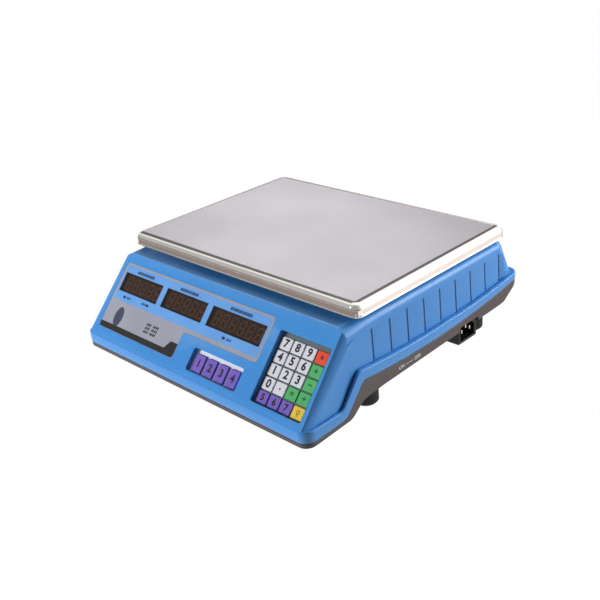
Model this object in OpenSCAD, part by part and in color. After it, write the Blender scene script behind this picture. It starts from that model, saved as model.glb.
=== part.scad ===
// Price-computing retail scale. A lift-off steel pan stands on a spider and a load cell inside a
// moulded case, with a sloped front panel for the displays and keys and a second display behind.
// Millimetres. The table is z = 0, the front faces -Y and the origin is under the case's centre.

/* [Case] */
// Width across the skirt
case_w = 349; // [344:1:380]
// Depth from the chin to the back lip
case_d = 344; // [338:1:374]
// Thickness of the moulded walls
wall_t = 2.5; // [2:0.1:3]
// Gap that shows between the cover and the base
seam = 0.8; // [0.4:0.1:1.2]
// Corner radius of the skirt, seen from above
plan_r = 12; // [8:0.5:16]
// Radius of the cover's upper edges
edge_r = 6; // [4:0.5:7]
// Lean of the back wall from upright, in degrees
back_lean = 23.6; // [20:0.2:28]

/* [Skirt] */
// How far the skirt stands out past the deck's side edges
skirt_out = 7; // [6.5:0.5:9]
// Lean of the side walls from upright, in degrees
side_draft = 2.5; // [1.5:0.1:3]
// How far the skirt stands out in front of the panel's foot
skirt_front = 1; // [0.5:0.5:3]
// How far the skirt stands out behind the back wall
skirt_back = 6; // [4:0.5:8]
// Height of the skirt's band
skirt_h = 11; // [9.5:0.1:12.5]
// Height of the skirt's band at the front
chin_h = 12.7; // [11:0.1:14]
// Height of the seam over the table at the front
seam_front_z = 12.5; // [11.5:0.1:14]
// Height of the seam over the table at the foot of the rise
seam_z = 14.8; // [14:0.2:17]
// Height of the seam's lowest point behind the chin
seam_low_z = 39.2; // [38:0.2:42]
// Distance from the seam's lowest point to the back lip
seam_low = 164; // [150:1:180]
// Radius of the seam's long curve
seam_r = 1000; // [900:50:2000]
// Depth of the low chin
chin_len = 53.5; // [48:0.5:58]
// Depth over which the seam climbs
rise_len = 25.5; // [20:0.5:30]

/* [Side grooves] */
// Number of grooves on each side
groove_count = 9; // [7:1:9]
// Distance from the rise to the first groove
groove_start = 22; // [18:0.5:26]
// Distance from the last groove to the back lip
groove_end = 32; // [30:0.5:42]
// Depth of the grooves
groove_deep = 0.9; // [0.6:0.1:1.2]
// Plain wall over the grooves
groove_top = 15.5; // [12:0.5:20]

/* [Base] */
// Height of the chin's underside over the table at the front
chin_z = 6.8; // [5:0.2:7.4]
// Height of the chin's underside over the table at its back
chin_back_z = 9.6; // [8:0.2:11]
// Height of the floor's underside just behind the rise
floor_front_z = 24.8; // [23:0.2:26]
// Height of the floor's underside at the start of the tail
floor_rear_z = 30.3; // [28:0.1:32]
// Depth of the upswept tail
tail_len = 29; // [24:1:34]

/* [Front panel] */
// Length of the panel along its slope
panel_len = 100.4; // [98:0.2:106]
// Slope of the panel from level, in degrees
panel_tilt = 48; // [44:0.5:52]
// Radius of the panel's side edges
panel_r = 4; // [3:0.5:6]

/* [Display] */
// Height of the display windows
window_h = 22; // [19:0.5:24]
// Window length beyond its digits
window_spare = 4; // [2:0.5:6]
// Distance between neighbouring windows
window_gap = 8; // [6:0.5:9]
// Border of the overlay round the windows
overlay_border = 5.5; // [4.5:0.5:7]
// Distance from the overlay to the panel's left edge
overlay_edge = 10.5; // [9:0.5:12]
// Distance from the overlay to the main keypad opening
overlay_gap = 12.2; // [9:0.2:16]
// Thickness of the overlay
overlay_t = 0.5; // [0.3:0.1:0.8]
// Distance from the overlay's lower lobe to the memory key opening
lobe_gap = 25.2; // [16:0.2:40]
// Height of the overlay's lower lobe
lobe_h = 30; // [24:0.5:32]
// Distance from the overlay to the panel's foot
lobe_foot = 10.5; // [8:0.5:12]
// Blue field between the windows and the lobe
field_h = 15; // [12:0.5:17]
// Blue field between the windows and the overlay's upper edge
caption_h = 11; // [8:0.5:13]
// Corner radius of the overlay
overlay_r = 4; // [2:0.5:6]
// Thickness of the flange behind each window filter
filter_flange_t = 1.2; // [0.8:0.1:1.6]
// Depth of the digit modules
digit_d = 8; // [6:0.5:9]
// Thickness of the printed boards
board_t = 1.6; // [1.2:0.1:2]

/* [Rear display] */
// Height of the rear overlay
rear_overlay_h = 29; // [27:0.5:29.5]
// Border of the rear overlay beyond its windows
rear_border = 8; // [5:0.5:14]

/* [Keypad] */
// Width of the main keypad opening
pad_w = 65.3; // [64:0.1:70]
// Height of the main keypad opening
pad_h = 73; // [72.5:0.5:76]
// Distance from the keypad opening to the panel's right edge
pad_edge = 6.4; // [6:0.1:8]
// Distance from the keypad opening to the panel's foot
pad_foot = 6.5; // [6:0.5:8.5]
// Width of a main key
key_w = 13.9; // [13:0.1:14.2]
// Height of a main key
key_h = 12.2; // [11:0.1:12.6]
// Column pitch of the main keys
key_px = 15.4; // [15.2:0.1:15.6]
// Row pitch of the main keys
key_py = 13.7; // [13.4:0.1:14]
// Space under the lowest row of main keys
key_foot = 1.2; // [1:0.1:2]
// Depth of the main key tops below the panel
key_deep = 3.8; // [3.2:0.1:4.4]
// Width of the memory key opening
mem_w = 73.2; // [70:0.2:76]
// Height of the memory key opening
mem_h = 24; // [22:0.5:26]
// Distance between the two key openings
mem_gap = 23.4; // [20:0.2:26]
// Width of a memory key
mem_key_w = 13.8; // [12:0.1:14.4]
// Height of a memory key
mem_key_h = 18.3; // [16:0.1:19]
// Pitch of the memory keys
mem_px = 17; // [16.5:0.1:17.6]
// Depth of the memory key tops below the panel
mem_deep = 3; // [2.4:0.1:3.6]
// Depth of the key pockets down to their pads
pocket_d = 5; // [4.8:0.1:6]
// Wall of the collars round the key pockets
collar_t = 2; // [1.5:0.1:2.2]
// Thickness of the key pads
pad_t = 2; // [1.5:0.1:3]
// Travel of a key
key_travel = 1.5; // [1:0.1:2]

/* [Pan] */
// Width of the pan
pan_w = 340; // [300:1:348]
// Depth of the pan
pan_d = 245; // [225:1:250]
// Height of the pan's rim
rim_h = 13.5; // [11:0.5:18]
// Clear height between the deck and the pan's rim
pan_gap = 4.6; // [3:0.1:8]
// How far the pan's centre lies behind the deck's centre
pan_shift = 6.7; // [4:0.1:9]
// Thickness of the pan's sheet
pan_t = 1.2; // [0.8:0.1:2]
// Corner radius of the pan, seen from above
pan_r = 5; // [4.5:0.5:10]
// Radius of the pan's upper edge
pan_edge_r = 2.5; // [1.8:0.1:4]

/* [Weighing] */
// Distance between the posts across the scale
post_dx = 210; // [180:2:240]
// Distance between the posts from front to back
post_dy = 150; // [120:2:170]
// Diameter of the posts
post_d = 14; // [10:0.5:16]
// Diameter of the rubber caps on the posts
cap_d = 20; // [18:0.5:24]
// Height of the rubber caps
cap_h = 10; // [8:0.5:11]
// Rubber over the end of each post
cap_top = 4.5; // [3:0.5:6]
// Clear room round each cap in the deck
deck_room = 3; // [2:0.5:5]
// Height of the locating rings under the pan
ring_h = 5.5; // [4:0.5:7]
// Thickness of the spider's plate
spider_t = 3; // [2.5:0.5:5]
// Width of the spider's arms
arm_w = 26; // [20:1:32]
// Distance between the deck's inner face and the spider
spider_drop = 12; // [8:0.5:14]
// Length of the load cell
cell_l = 130; // [120:1:150]
// Width of the load cell
cell_w = 30; // [25:1:40]
// Height of the load cell
cell_h = 22; // [20:0.5:26]
// Height of the load cell's underside over the table
cell_z = 48; // [44:0.5:50]
// Thickness of the spacer under the load cell
spacer_h = 8; // [5:0.5:10]
// Length of the bolted end of the load cell
cell_end = 34; // [30:1:38]
// Distance between the two bolts of an end
bolt_pitch = 18; // [16:0.5:20]
// Diameter of the load cell bolts
bolt_d = 6; // [5:0.5:6]

/* [Feet] */
// Diameter of the foot knobs
knob_d = 26; // [22:0.5:30]
// Height of the foot knobs
knob_h = 15.5; // [13:0.5:16]
// Diameter of the foot studs
stud_d = 8; // [6:0.5:10]
// Length of a stud above its knob
stud_l = 29; // [26:0.5:32]
// Distance from the front feet to the sides of the skirt
foot_in = 23.5; // [20:0.5:30]
// Distance from the rear feet to the sides of the skirt
rear_foot_in = 30.5; // [26:0.5:36]
// Distance from the rise to the front feet
foot_front = 27.5; // [22:0.5:36]
// Distance from the back lip to the rear feet
foot_back = 49; // [44:0.5:54]

/* [Power] */
// Width of the mains inlet
inlet_w = 33; // [31:0.5:36]
// Height of the mains inlet
inlet_h = 22; // [21:0.5:24]
// Depth of the mains inlet's body
inlet_d = 36; // [28:1:44]
// Distance from the back lip to the inlet's middle
inlet_back = 95; // [90:0.5:102]
// Height of the inlet's middle over the table
inlet_z = 22.5; // [21:0.5:24]
// How far the inlet's face lies inside the skirt
inlet_in = 3; // [2:0.5:5]
// Length of the switch bezel
switch_l = 21; // [19:0.5:24]
// Width of the switch bezel
switch_w = 15; // [14:0.5:17]
// Distance from the rise to the switch's middle
switch_front = 69; // [60:1:76]
// Distance from the side of the skirt to the switch's middle
switch_in = 24; // [22:0.5:30]
// Length of the battery
battery_l = 101; // [95:1:104]
// Width of the battery
battery_w = 70; // [64:1:72]
// Height of the battery
battery_h = 47; // [42:1:49]
// Length of the transformer's core
core_l = 57; // [48:1:66]
// Thickness of the transformer's core
core_w = 26; // [20:1:32]
// Height of the transformer's core
core_h = 46; // [40:1:48]

/* [Clearances] */
// Room round pieces that drop into an opening
fit = 0.2; // [0.1:0.05:0.3]
// Room round a moving key
key_fit = 0.3; // [0.25:0.05:0.35]
// Radial room of a shaft in its hole
run_fit = 0.05; // [0.03:0.01:0.08]
// Gap between the knobs and their bosses
foot_gap = 0.6; // [0.4:0.1:1]

/* [Hidden] */
$fn = 48;

blue = "#3f8fdc";
dark_plastic = "#5a5250";
black = "#1b1a1c";
steel = "#c9c5cb";
board_green = "#2f6b45";
white = "#e4e4ea";
red = "#e04a32";
green = "#4fae68";
violet = "#7d64c8";
yellow = "#e0be42";
silver = "#a6a6b2";
smoke = "#4a2c1c";
grey_mat = "#4d5552";

// Case outlines, worked out from the driving sizes
half_w = case_w / 2;
half_d = case_d / 2;
wall_x = half_w - skirt_out;
inner_x = wall_x - wall_t;
chin_top = seam_front_z + chin_h;
chin_y = chin_len - half_d;
rise_y = chin_y + rise_len;
seam_low_y = half_d - seam_low;
seam_steps = 8;
panel_y = skirt_front - half_d;
deck_z = chin_top + panel_len * sin(panel_tilt);
brow_y = panel_y + panel_len * cos(panel_tilt);
back_y = half_d - skirt_back;
back_z = seam_curve(half_d) + skirt_h;
back_len = (deck_z - back_z) / cos(back_lean);
deck_back_y = back_y - (deck_z - back_z) * tan(back_lean);
open_drop = wall_t + 2;
groove_y = rise_y + groove_start;
groove_pitch = (half_d - groove_end - groove_y) / (groove_count - 1);
groove_foot = 0.5;
far = 400;

// Floor of the base
heel_len = 30;
heel_drop = 2;
chin_lag = 8;
floor_y = rise_y + heel_len;
tail_y = half_d - tail_len;
floor_pitch = atan((floor_rear_z - floor_front_z) / (tail_y - floor_y));
base_in = 0.5;
base_front_top = seam_front_z - seam;
base_chin_top = seam_z - seam;
tail_top = seam_curve(half_d) - seam - wall_t;
toe_r = 3.5;
tail_r = 20;

// Panel features: s runs up the slope from the panel's foot, u runs across
small_digits = 5;
large_digits = 6;
pad_right = wall_x - pad_edge;
pad_left = pad_right - pad_w;
pad_mid = (pad_left + pad_right) / 2;
pad_top_s = pad_foot + pad_h;
mem_right = pad_left - mem_gap;
mem_left = mem_right - mem_w;
mem_mid = (mem_left + mem_right) / 2;
overlay_left = overlay_edge - wall_x;
overlay_w = pad_left - overlay_gap - overlay_left;
lobe_w = mem_left - lobe_gap - overlay_left;
windows_w = overlay_w - 2 * overlay_border;
digit_w = (windows_w - 2 * window_gap - 3 * window_spare) / (2 * small_digits + large_digits);
small_w = small_digits * digit_w + window_spare;
large_w = large_digits * digit_w + window_spare;
lobe_top_s = lobe_foot + lobe_h;
window_s = lobe_top_s + field_h;
overlay_top_s = window_s + window_h + caption_h;
overlay_drop = 0.1;
filter_lip = 2;
digit_gap = 0.3;
digit_lip = 1;
mem_lift = 0.5;
filter_back = wall_t + filter_flange_t;
digit_front = filter_back + digit_gap;
board_front = digit_front + digit_d;
board_lip = 8;
peg_row = 5;
peg_d = 5;
peg_in = 6;
peg_out = 4;

mem_foot = pad_foot + mem_lift;
mem_top_s = mem_foot + mem_h;
mem_key_foot = 1.3;
board_gap = 0.4;
flange_t = 1;
flange_lip = 0.2;
key_back = pocket_d + pad_t + key_fit + flange_t;
key_board = key_back + key_travel + board_gap;

// Pan and weighing parts
pan_y = (brow_y + deck_back_y) / 2 + pan_shift;
rim_z = deck_z + pan_gap;
pan_top_z = rim_z + rim_h;
pan_under_z = pan_top_z - pan_t;
spider_top = deck_z - wall_t - spider_drop;
spider_z = spider_top - spider_t;
cell_top = cell_z + cell_h;
cell_seat_z = cell_z - spacer_h;
cell_bolt_x = cell_l / 2 - cell_end / 2;
bolt_head_h = 4;
bolt_head_d = 1.67 * bolt_d;
bolt_grip = 12;
seat_roof = 6;
ring_d = cap_d + 1.2;
ring_t = 1.4;
arm_end_d = arm_w + 6;

// Feet and screws
foot_x = half_w - foot_in;
rear_foot_x = half_w - rear_foot_in;
front_foot_y = rise_y + foot_front;
rear_foot_y = half_d - foot_back;
boss_t = 6;
boss_d = stud_d + 2 * boss_t;
front_boss_h = 14;
rear_boss_h = 11;
stud_sink = 11;
screw_d = 3;
screw_head_d = 7;
screw_head_h = 2.4;
screw_post_d = 8;
screw_boss_d = 10;
screw_tip_d = 6;
screw_sink = 0.8;
screw_x = half_w - wall_t + screw_sink - screw_post_d / 2;
screw_seat = 5;
screw_bite = 7;
screw_front = 12;
screw_middle = 72;
screw_back = 54;
screw_ys = [rise_y + screw_front, floor_y + screw_middle, half_d - screw_back];

// Power parts
inlet_x = half_w - inlet_in;
inlet_y = half_d - inlet_back;
socket_w = 24.4;
socket_h = 16.6;
socket_d = 17;
pin_w = 2;
pin_h = 4;
pin_pitch = 7;
pin_rise = 3;
switch_x = half_w - switch_in;
switch_y = rise_y + switch_front;
switch_d = 16;
bezel_t = 1.6;
bezel_lip = 1;
rocker_room = 8;
rocker_l = switch_l - 6.6;
rocker_w = switch_w - 5;
rocker_throw = 10;
rocker_pin_d = 2;
battery_side = 38;
battery_front = 17;
door_lip = 4;
battery_x = battery_side + battery_l / 2 - half_w;
battery_y = floor_y + battery_w / 2 - battery_front;
door_l = battery_l + 2 * door_lip;
door_w = battery_w + 1.5 * door_lip;
door_tab = 5;
door_lug = 12;
lug_half = 7;
lug_h = 11;
core_side = 80;
core_front = 5;
coil_lip = 9;
coil_foot = 5;
core_x = half_w - core_side;
core_y = floor_y + core_front;
ear_l = 12;
ear_t = 1.6;

// Plane helpers
function unit(v) = v / norm(v);
function left_of(v) = [-v[1], v[0]];
function at(p, i) = p[(i + len(p)) % len(p)];

// Moves a counter-clockwise outline inwards by t
function inset(p, t) = [for (i = [0 : len(p) - 1])
    let (m = left_of(unit(p[i] - at(p, i - 1))), n = left_of(unit(at(p, i + 1) - p[i])))
    p[i] + t * (m + n) / (1 + m * n)];

// Arc of radius r that rounds the corner b between a and c
function bend(a, b, c, r, steps) =
    let (u = unit(a - b), v = unit(c - b), half = acos(u * v) / 2,
        centre = b + unit(u + v) * r / sin(half),
        p = b + u * r / tan(half) - centre, q = b + v * r / tan(half) - centre,
        a0 = atan2(p[1], p[0]), turn = atan2(q[1], q[0]) - a0,
        sweep = turn > 180 ? turn - 360 : turn < -180 ? turn + 360 : turn)
    [for (i = [0 : steps]) centre + r * [cos(a0 + sweep * i / steps), sin(a0 + sweep * i / steps)]];

// Rounds the corners of an outline, each by its own radius
function soften(p, radii, steps = 4) = [for (i = [0 : len(p) - 1])
    each radii[i] > 0 ? bend(at(p, i - 1), p[i], at(p, i + 1), radii[i], steps) : [p[i]]];

function box_outline(x0, y0, x1, y1) = [[x0, y0], [x1, y0], [x1, y1], [x0, y1]];

function round_box(x0, y0, x1, y1, r) = soften(box_outline(x0, y0, x1, y1), [r, r, r, r]);

// Height of the floor's underside along the case
function floor_z(y) = floor_front_z + (y - floor_y) * tan(floor_pitch);

// Height of the seam behind the rise: a long shallow curve
function seam_curve(y) = seam_low_z + pow(y - seam_low_y, 2) / (2 * seam_r);

function seam_at(y) = y > chin_y ? seam_curve(y)
    : lookup(y, [[-half_d, seam_front_z], [chin_y, seam_z]]);

// How far the band's upper edge turns ahead of its lower edge at each end of the rise
rise_turn = atan((seam_curve(rise_y) - seam_z) / rise_len) / 2;
chin_turn_y = chin_y - (chin_top - seam_z) * tan(rise_turn);
rise_turn_y = rise_y - skirt_h * tan(rise_turn);

function skirt_z(y) = y > rise_turn_y ? seam_curve(y) + skirt_h
    : lookup(y, [[chin_turn_y, chin_top], [rise_turn_y, seam_curve(rise_turn_y) + skirt_h]]);

// Points along the curved seam between two places, shifted up by lift
function seam_arc(y0, y1, lift) = [for (i = [0 : seam_steps])
    let (y = y0 + (y1 - y0) * i / seam_steps) [y, seam_curve(y) + lift]];

// Side view of the cover's body, of its skirt and of the base
function body_side(drop) = soften([[panel_y, seam_at(panel_y) - drop], [chin_y, seam_z - drop],
    [rise_y, seam_curve(rise_y) - drop], [back_y, seam_curve(back_y) - drop], [back_y, back_z],
    [deck_back_y, deck_z], [brow_y, deck_z], [panel_y, chin_top]], [0, 0, 0, 0, 0, edge_r, edge_r, 0]);

function skirt_side(drop) = concat([[-half_d, seam_front_z - drop], [chin_y, seam_z - drop]],
    seam_arc(rise_y, half_d, -drop), seam_arc(half_d, rise_turn_y, skirt_h),
    [[chin_turn_y, chin_top], [-half_d, chin_top]]);

function tail_side() = bend([floor_y, floor_front_z], [tail_y, floor_rear_z],
    [half_d - base_in, tail_top], tail_r, 3);

function chin_side() = bend([base_in - half_d, base_front_top], [base_in - half_d, chin_z],
    [chin_y + chin_lag, chin_back_z], toe_r, 3);

function base_side(lift) = concat(chin_side(), [[chin_y + chin_lag, chin_back_z],
    [rise_y, floor_front_z - heel_drop], [floor_y, floor_front_z]], tail_side(),
    [[half_d - base_in, tail_top]], seam_arc(half_d - base_in, rise_y, lift - seam),
    [[chin_y, base_chin_top + lift], [base_in - half_d, base_front_top + lift]]);

// The drafted side walls, x from the middle at deck height
function wall_section(x) = [[-x - (deck_z + far) * tan(side_draft), -far],
    [x + (deck_z + far) * tan(side_draft), -far], [x, deck_z], [-x, deck_z]];

module along_x(half, outline) {
    rotate([90, 0, 90]) linear_extrude(2 * half, center = true) polygon(outline);
}

module along_y(outline) {
    rotate([90, 0, 0]) linear_extrude(2 * far, center = true) polygon(outline);
}

module upright(outline, z0, z1) {
    translate([0, 0, z0]) linear_extrude(z1 - z0) polygon(outline);
}

module block(x0, y0, z0, x1, y1, z1) {
    translate([x0, y0, z0]) cube([x1 - x0, y1 - y0, z1 - z0]);
}

module peg(d, z0, z1) {
    translate([0, 0, z0]) cylinder(d = d, h = z1 - z0);
}

// Frames: children use z as height over the panel, the back wall or the floor's underside
module on_panel() {
    translate([0, panel_y, chin_top]) rotate([panel_tilt, 0, 0]) children();
}

module on_back() {
    translate([0, back_y, back_z]) rotate([0, 0, 180]) rotate([90 - back_lean, 0, 0]) children();
}

module on_floor(x, y) {
    translate([x, y, floor_z(y)]) rotate([floor_pitch, 0, 0]) children();
}

module both_sides() {
    children();
    mirror([1, 0, 0]) children();
}

// Places of the windows: [left edge, length, digits]
function windows_from(left) = [[left, small_w, small_digits],
    [left + small_w + window_gap, small_w, small_digits],
    [left + 2 * (small_w + window_gap), large_w, large_digits]];

front_windows = windows_from(overlay_left + overlay_border);
rear_windows = windows_from(-windows_w / 2);
rear_window_s = back_len / 2 - window_h / 2;
rear_overlay_s = back_len / 2 - rear_overlay_h / 2;

function overlay_outline() = soften([[overlay_left, lobe_foot], [overlay_left + lobe_w, lobe_foot],
    [overlay_left + lobe_w, lobe_top_s], [overlay_left + overlay_w, lobe_top_s],
    [overlay_left + overlay_w, overlay_top_s], [overlay_left, overlay_top_s]],
    [overlay_r, overlay_r, overlay_r, overlay_r, overlay_r, overlay_r]);

function rear_outline() = round_box(-windows_w / 2 - rear_border, rear_overlay_s,
    windows_w / 2 + rear_border, rear_overlay_s + rear_overlay_h, overlay_r);

module window_cuts(list, s, room, z0, z1) {
    for (w = list)
        block(w[0] + room, s + room, z0, w[0] + w[1] - room, s + window_h - room, z1);
}

module filters(list, s) {
    window_cuts(list, s, fit, -wall_t, -overlay_drop);
    window_cuts(list, s, -filter_lip, -filter_back, -wall_t);
}

module digit_modules(list, s) {
    for (w = list)
        block(w[0] + window_spare / 2, s + digit_lip, -board_front, w[0] + w[1] - window_spare / 2,
            s + window_h - digit_lip, -digit_front);
}

// Pegs behind a row of windows, which carry its board
module board_pegs(list, s) {
    last = list[len(list) - 1];
    for (u = [list[0][0], last[0] - window_gap / 2, last[0] + last[1]],
        v = [s - peg_row, s + window_h + peg_row])
        translate([u, v, 0]) peg(peg_d, -board_front, -wall_t / 2);
}

module display_board(list, s) {
    last = list[len(list) - 1];
    block(list[0][0] - board_lip / 2, s - board_lip, -board_front - board_t,
        last[0] + last[1] + board_lip / 2, s + window_h + board_lip, -board_front);
}

// Key places on the panel: [name, column, row from the top, colour]
main_keys = [["key_7", 0, 0, white], ["key_8", 1, 0, white], ["key_9", 2, 0, white], ["key_clear", 3, 0, red],
    ["key_4", 0, 1, white], ["key_5", 1, 1, white], ["key_6", 2, 1, white], ["key_add", 3, 1, green],
    ["key_1", 0, 2, white], ["key_2", 1, 2, white], ["key_3", 2, 2, white], ["key_tare", 3, 2, green],
    ["key_0", 0, 3, white], ["key_point", 1, 3, white], ["key_recall", 2, 3, green],
    ["key_zero", 3, 3, green],
    ["key_store", 0, 4, violet], ["key_change", 1, 4, violet], ["key_hold", 2, 4, violet],
    ["key_light", 3, 4, yellow]];
memory_keys = ["key_memory_1", "key_memory_2", "key_memory_3", "key_memory_4"];
last_row = 4;

function main_u(column) = pad_mid + (column - 1.5) * key_px;
function main_s(row) = pad_foot + key_foot + key_h / 2 + (last_row - row) * key_py;
function memory_u(column) = mem_mid + (column - 1.5) * mem_px;
memory_s = mem_foot + mem_key_foot + mem_key_h / 2;

module plate_at(u, s, w, h, z0, z1) {
    block(u - w / 2, s - h / 2, z0, u + w / 2, s + h / 2, z1);
}

module key_block(u, s, w, h, deep) {
    lip = 2 * (key_fit + flange_lip);
    on_panel() {
        plate_at(u, s, w, h, flange_t - key_back, -deep);
        plate_at(u, s, w + lip, h + lip, -key_back, flange_t - key_back);
    }
}

module main_key(key) {
    color(key[3]) key_block(main_u(key[1]), main_s(key[2]), key_w, key_h, key_deep);
}

module memory_key(column) {
    color(violet) key_block(memory_u(column), memory_s, mem_key_w, mem_key_h, mem_deep);
}

module main_opening(grow, z0, z1) {
    block(pad_left - grow, pad_foot - grow, z0, pad_right + grow, pad_top_s + grow, z1);
}

module memory_opening(grow, z0, z1) {
    block(mem_left - grow, mem_foot - grow, z0, mem_right + grow, mem_top_s + grow, z1);
}

// Pegs that carry the key board, clear of both pads
key_pegs = [[pad_left + peg_in, pad_top_s + collar_t + peg_out],
    [pad_right - peg_in, pad_top_s + collar_t + peg_out],
    [(mem_right + pad_left) / 2, mem_foot + peg_in], [mem_left - collar_t - peg_out, mem_foot + mem_h / 2]];

// Rounds the side edges of a sloped wall of the given tilt and length, which spread with the draft
module edge_trim(tilt, length) {
    edge_turn = atan(sin(tilt) * tan(side_draft));
    spread = far * tan(asin(cos(tilt) * sin(side_draft)));
    outline = [[-far, -far], [spread, -far], [0, 0], [-far, 0]];
    intersection_for (side = [0, 1])
        mirror([side, 0, 0]) translate([wall_x, length, 0]) rotate([0, 0, edge_turn])
            along_y(soften(outline, [0, 0, panel_r, 0]));
}

// Cover: a body with rounded edges over a stepped skirt
module cover_body() {
    intersection() {
        along_x(half_w, body_side(0));
        along_y(soften(wall_section(wall_x), [0, 0, edge_r, edge_r]));
        on_panel() edge_trim(panel_tilt, panel_len);
        on_back() edge_trim(90 - back_lean, back_len);
    }
}

module cover_skirt(t, drop) {
    intersection() {
        along_x(half_w - t, inset(skirt_side(drop), t));
        upright(round_box(t - half_w, t - half_d, half_w - t, half_d - t, plan_r - t), 0, far);
    }
}

module cover_room() {
    intersection() {
        along_x(half_w, inset(body_side(open_drop), wall_t));
        along_y(wall_section(inner_x));
    }
    cover_skirt(wall_t, open_drop);
}

module pan_posts() {
    for (x = [-1, 1], y = [-1, 1])
        translate([x * post_dx / 2, pan_y + y * post_dy / 2, 0]) children();
}

module side_grooves() {
    both_sides() for (i = [0 : groove_count - 1])
        let (y = groove_y + i * groove_pitch)
        translate([wall_x, y, deck_z]) rotate([0, -side_draft, 0]) rotate([0, 0, 45])
            block(-groove_deep, -groove_deep, skirt_z(y) - deck_z + groove_foot, groove_deep, groove_deep,
                -groove_top);
}

module screw_posts() {
    both_sides() for (y = screw_ys)
        translate([screw_x, y, 0]) peg(screw_post_d, seam_at(y), skirt_z(y) - wall_t / 2);
}

module screw_pilots() {
    both_sides() for (y = screw_ys)
        translate([screw_x, y, 0]) peg(screw_d + 2 * run_fit, 0, seam_at(y) + screw_bite + 1);
}

module top_cover() {
    color(blue) difference() {
        union() {
            difference() {
                union() {
                    cover_body();
                    cover_skirt(0, 0);
                }
                cover_room();
            }
            on_panel() {
                main_opening(collar_t, -pocket_d, -wall_t / 2);
                memory_opening(collar_t, -pocket_d, -wall_t / 2);
                board_pegs(front_windows, window_s);
                for (p = key_pegs) translate([p[0], p[1], 0]) peg(peg_d, -key_board, -wall_t / 2);
            }
            on_back() board_pegs(rear_windows, rear_window_s);
            screw_posts();
        }
        on_panel() {
            main_opening(0, -far, far);
            memory_opening(0, -far, far);
            window_cuts(front_windows, window_s, 0, -open_drop, 1);
            upright(inset(overlay_outline(), -fit), -overlay_t - overlay_drop, 1);
        }
        on_back() {
            window_cuts(rear_windows, rear_window_s, 0, -open_drop, 1);
            upright(inset(rear_outline(), -fit), -overlay_t - overlay_drop, 1);
        }
        pan_posts() peg(cap_d + 2 * deck_room, spider_top, far);
        screw_pilots();
        side_grooves();
    }
}

// Base: a tray whose floor steps down into the chin and sweeps up at the tail
module base_shape(t, lift) {
    intersection() {
        along_x(half_w - base_in - t, inset(base_side(lift), t));
        upright(round_box(base_in + t - half_w, base_in + t - half_d, half_w - base_in - t,
            half_d - base_in - t, plan_r - t), -far, far);
    }
}

module foot_places() {
    both_sides() {
        translate([foot_x, front_foot_y, 0]) children(0);
        translate([rear_foot_x, rear_foot_y, 0]) children(1);
    }
}

module screw_boss(y) {
    translate([screw_x, y, 0]) {
        peg(screw_boss_d, floor_z(y) + wall_t / 2, seam_at(y) - 2 * seam);
        peg(screw_tip_d, seam_at(y) - 3 * seam, seam_at(y));
    }
}

module screw_bores(y) {
    translate([screw_x, y, 0]) {
        peg(screw_d + 2 * fit, 0, far);
        peg(screw_head_d + 2 * fit, -1, seam_at(y) - screw_seat);
    }
}

module cell_seat() {
    x = -cell_bolt_x;
    block(x - cell_end / 2, pan_y - cell_w / 2, floor_z(pan_y) + wall_t / 2, x + cell_end / 2,
        pan_y + cell_w / 2, cell_seat_z);
}

module cell_bolt_places(x) {
    for (side = [-1, 1]) translate([x + side * bolt_pitch / 2, pan_y, 0]) children();
}

module base_tray() {
    color(dark_plastic) difference() {
        union() {
            difference() {
                base_shape(0, 0);
                base_shape(wall_t, open_drop);
            }
            foot_places() {
                peg(boss_d, knob_h + foot_gap, floor_z(front_foot_y) + front_boss_h);
                peg(boss_d, knob_h + foot_gap, floor_z(rear_foot_y) + rear_boss_h);
            }
            both_sides() for (y = screw_ys) screw_boss(y);
            cell_seat();
            on_floor(battery_x, battery_y)
                block(-lug_half, door_w / 2 + 1, wall_t / 2, lug_half, door_w / 2 + door_lug, lug_h);
        }
        foot_places() {
            peg(stud_d + 2 * run_fit, 0, far);
            peg(stud_d + 2 * run_fit, 0, far);
        }
        both_sides() for (y = screw_ys) screw_bores(y);
        cell_bolt_places(-cell_bolt_x) {
            peg(bolt_d + 2 * fit, 0, far);
            peg(bolt_head_d + 2, 0, cell_seat_z - seat_roof);
        }
        on_floor(battery_x, battery_y) {
            block(-door_l / 2 - fit, -door_w / 2 - fit, -1, door_l / 2 + fit, door_w / 2 + fit, wall_t + 1);
            translate([0, door_w / 2 + door_lug / 2, 0]) peg(screw_d + 2 * run_fit, -1, 10);
        }
        on_floor(switch_x, switch_y)
            plate_at(0, 0, switch_w - 2 * bezel_lip + 2 * fit, switch_l - 2 * bezel_lip + 2 * fit, -1,
                wall_t + 1);
        block(inlet_x - inlet_d - fit, inlet_y - inlet_w / 2 - fit, 0, far, inlet_y + inlet_w / 2 + fit,
            inlet_z + inlet_h / 2 + fit);
    }
}

module front_overlay() {
    color(silver) on_panel() difference() {
        upright(overlay_outline(), -overlay_t - overlay_drop, -overlay_drop);
        window_cuts(front_windows, window_s, 0, -1 - overlay_t, 1);
    }
}

module front_filters() {
    color(smoke) on_panel() filters(front_windows, window_s);
}

module front_digits() {
    color(black) on_panel() digit_modules(front_windows, window_s);
}

module front_board() {
    color(board_green) on_panel() display_board(front_windows, window_s);
}

module rear_overlay() {
    color(silver) on_back() difference() {
        upright(rear_outline(), -overlay_t - overlay_drop, -overlay_drop);
        window_cuts(rear_windows, rear_window_s, 0, -1 - overlay_t, 1);
    }
}

module rear_filters() {
    color(smoke) on_back() filters(rear_windows, rear_window_s);
}

module rear_digits() {
    color(black) on_back() digit_modules(rear_windows, rear_window_s);
}

module rear_board() {
    color(board_green) on_back() display_board(rear_windows, rear_window_s);
}

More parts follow.
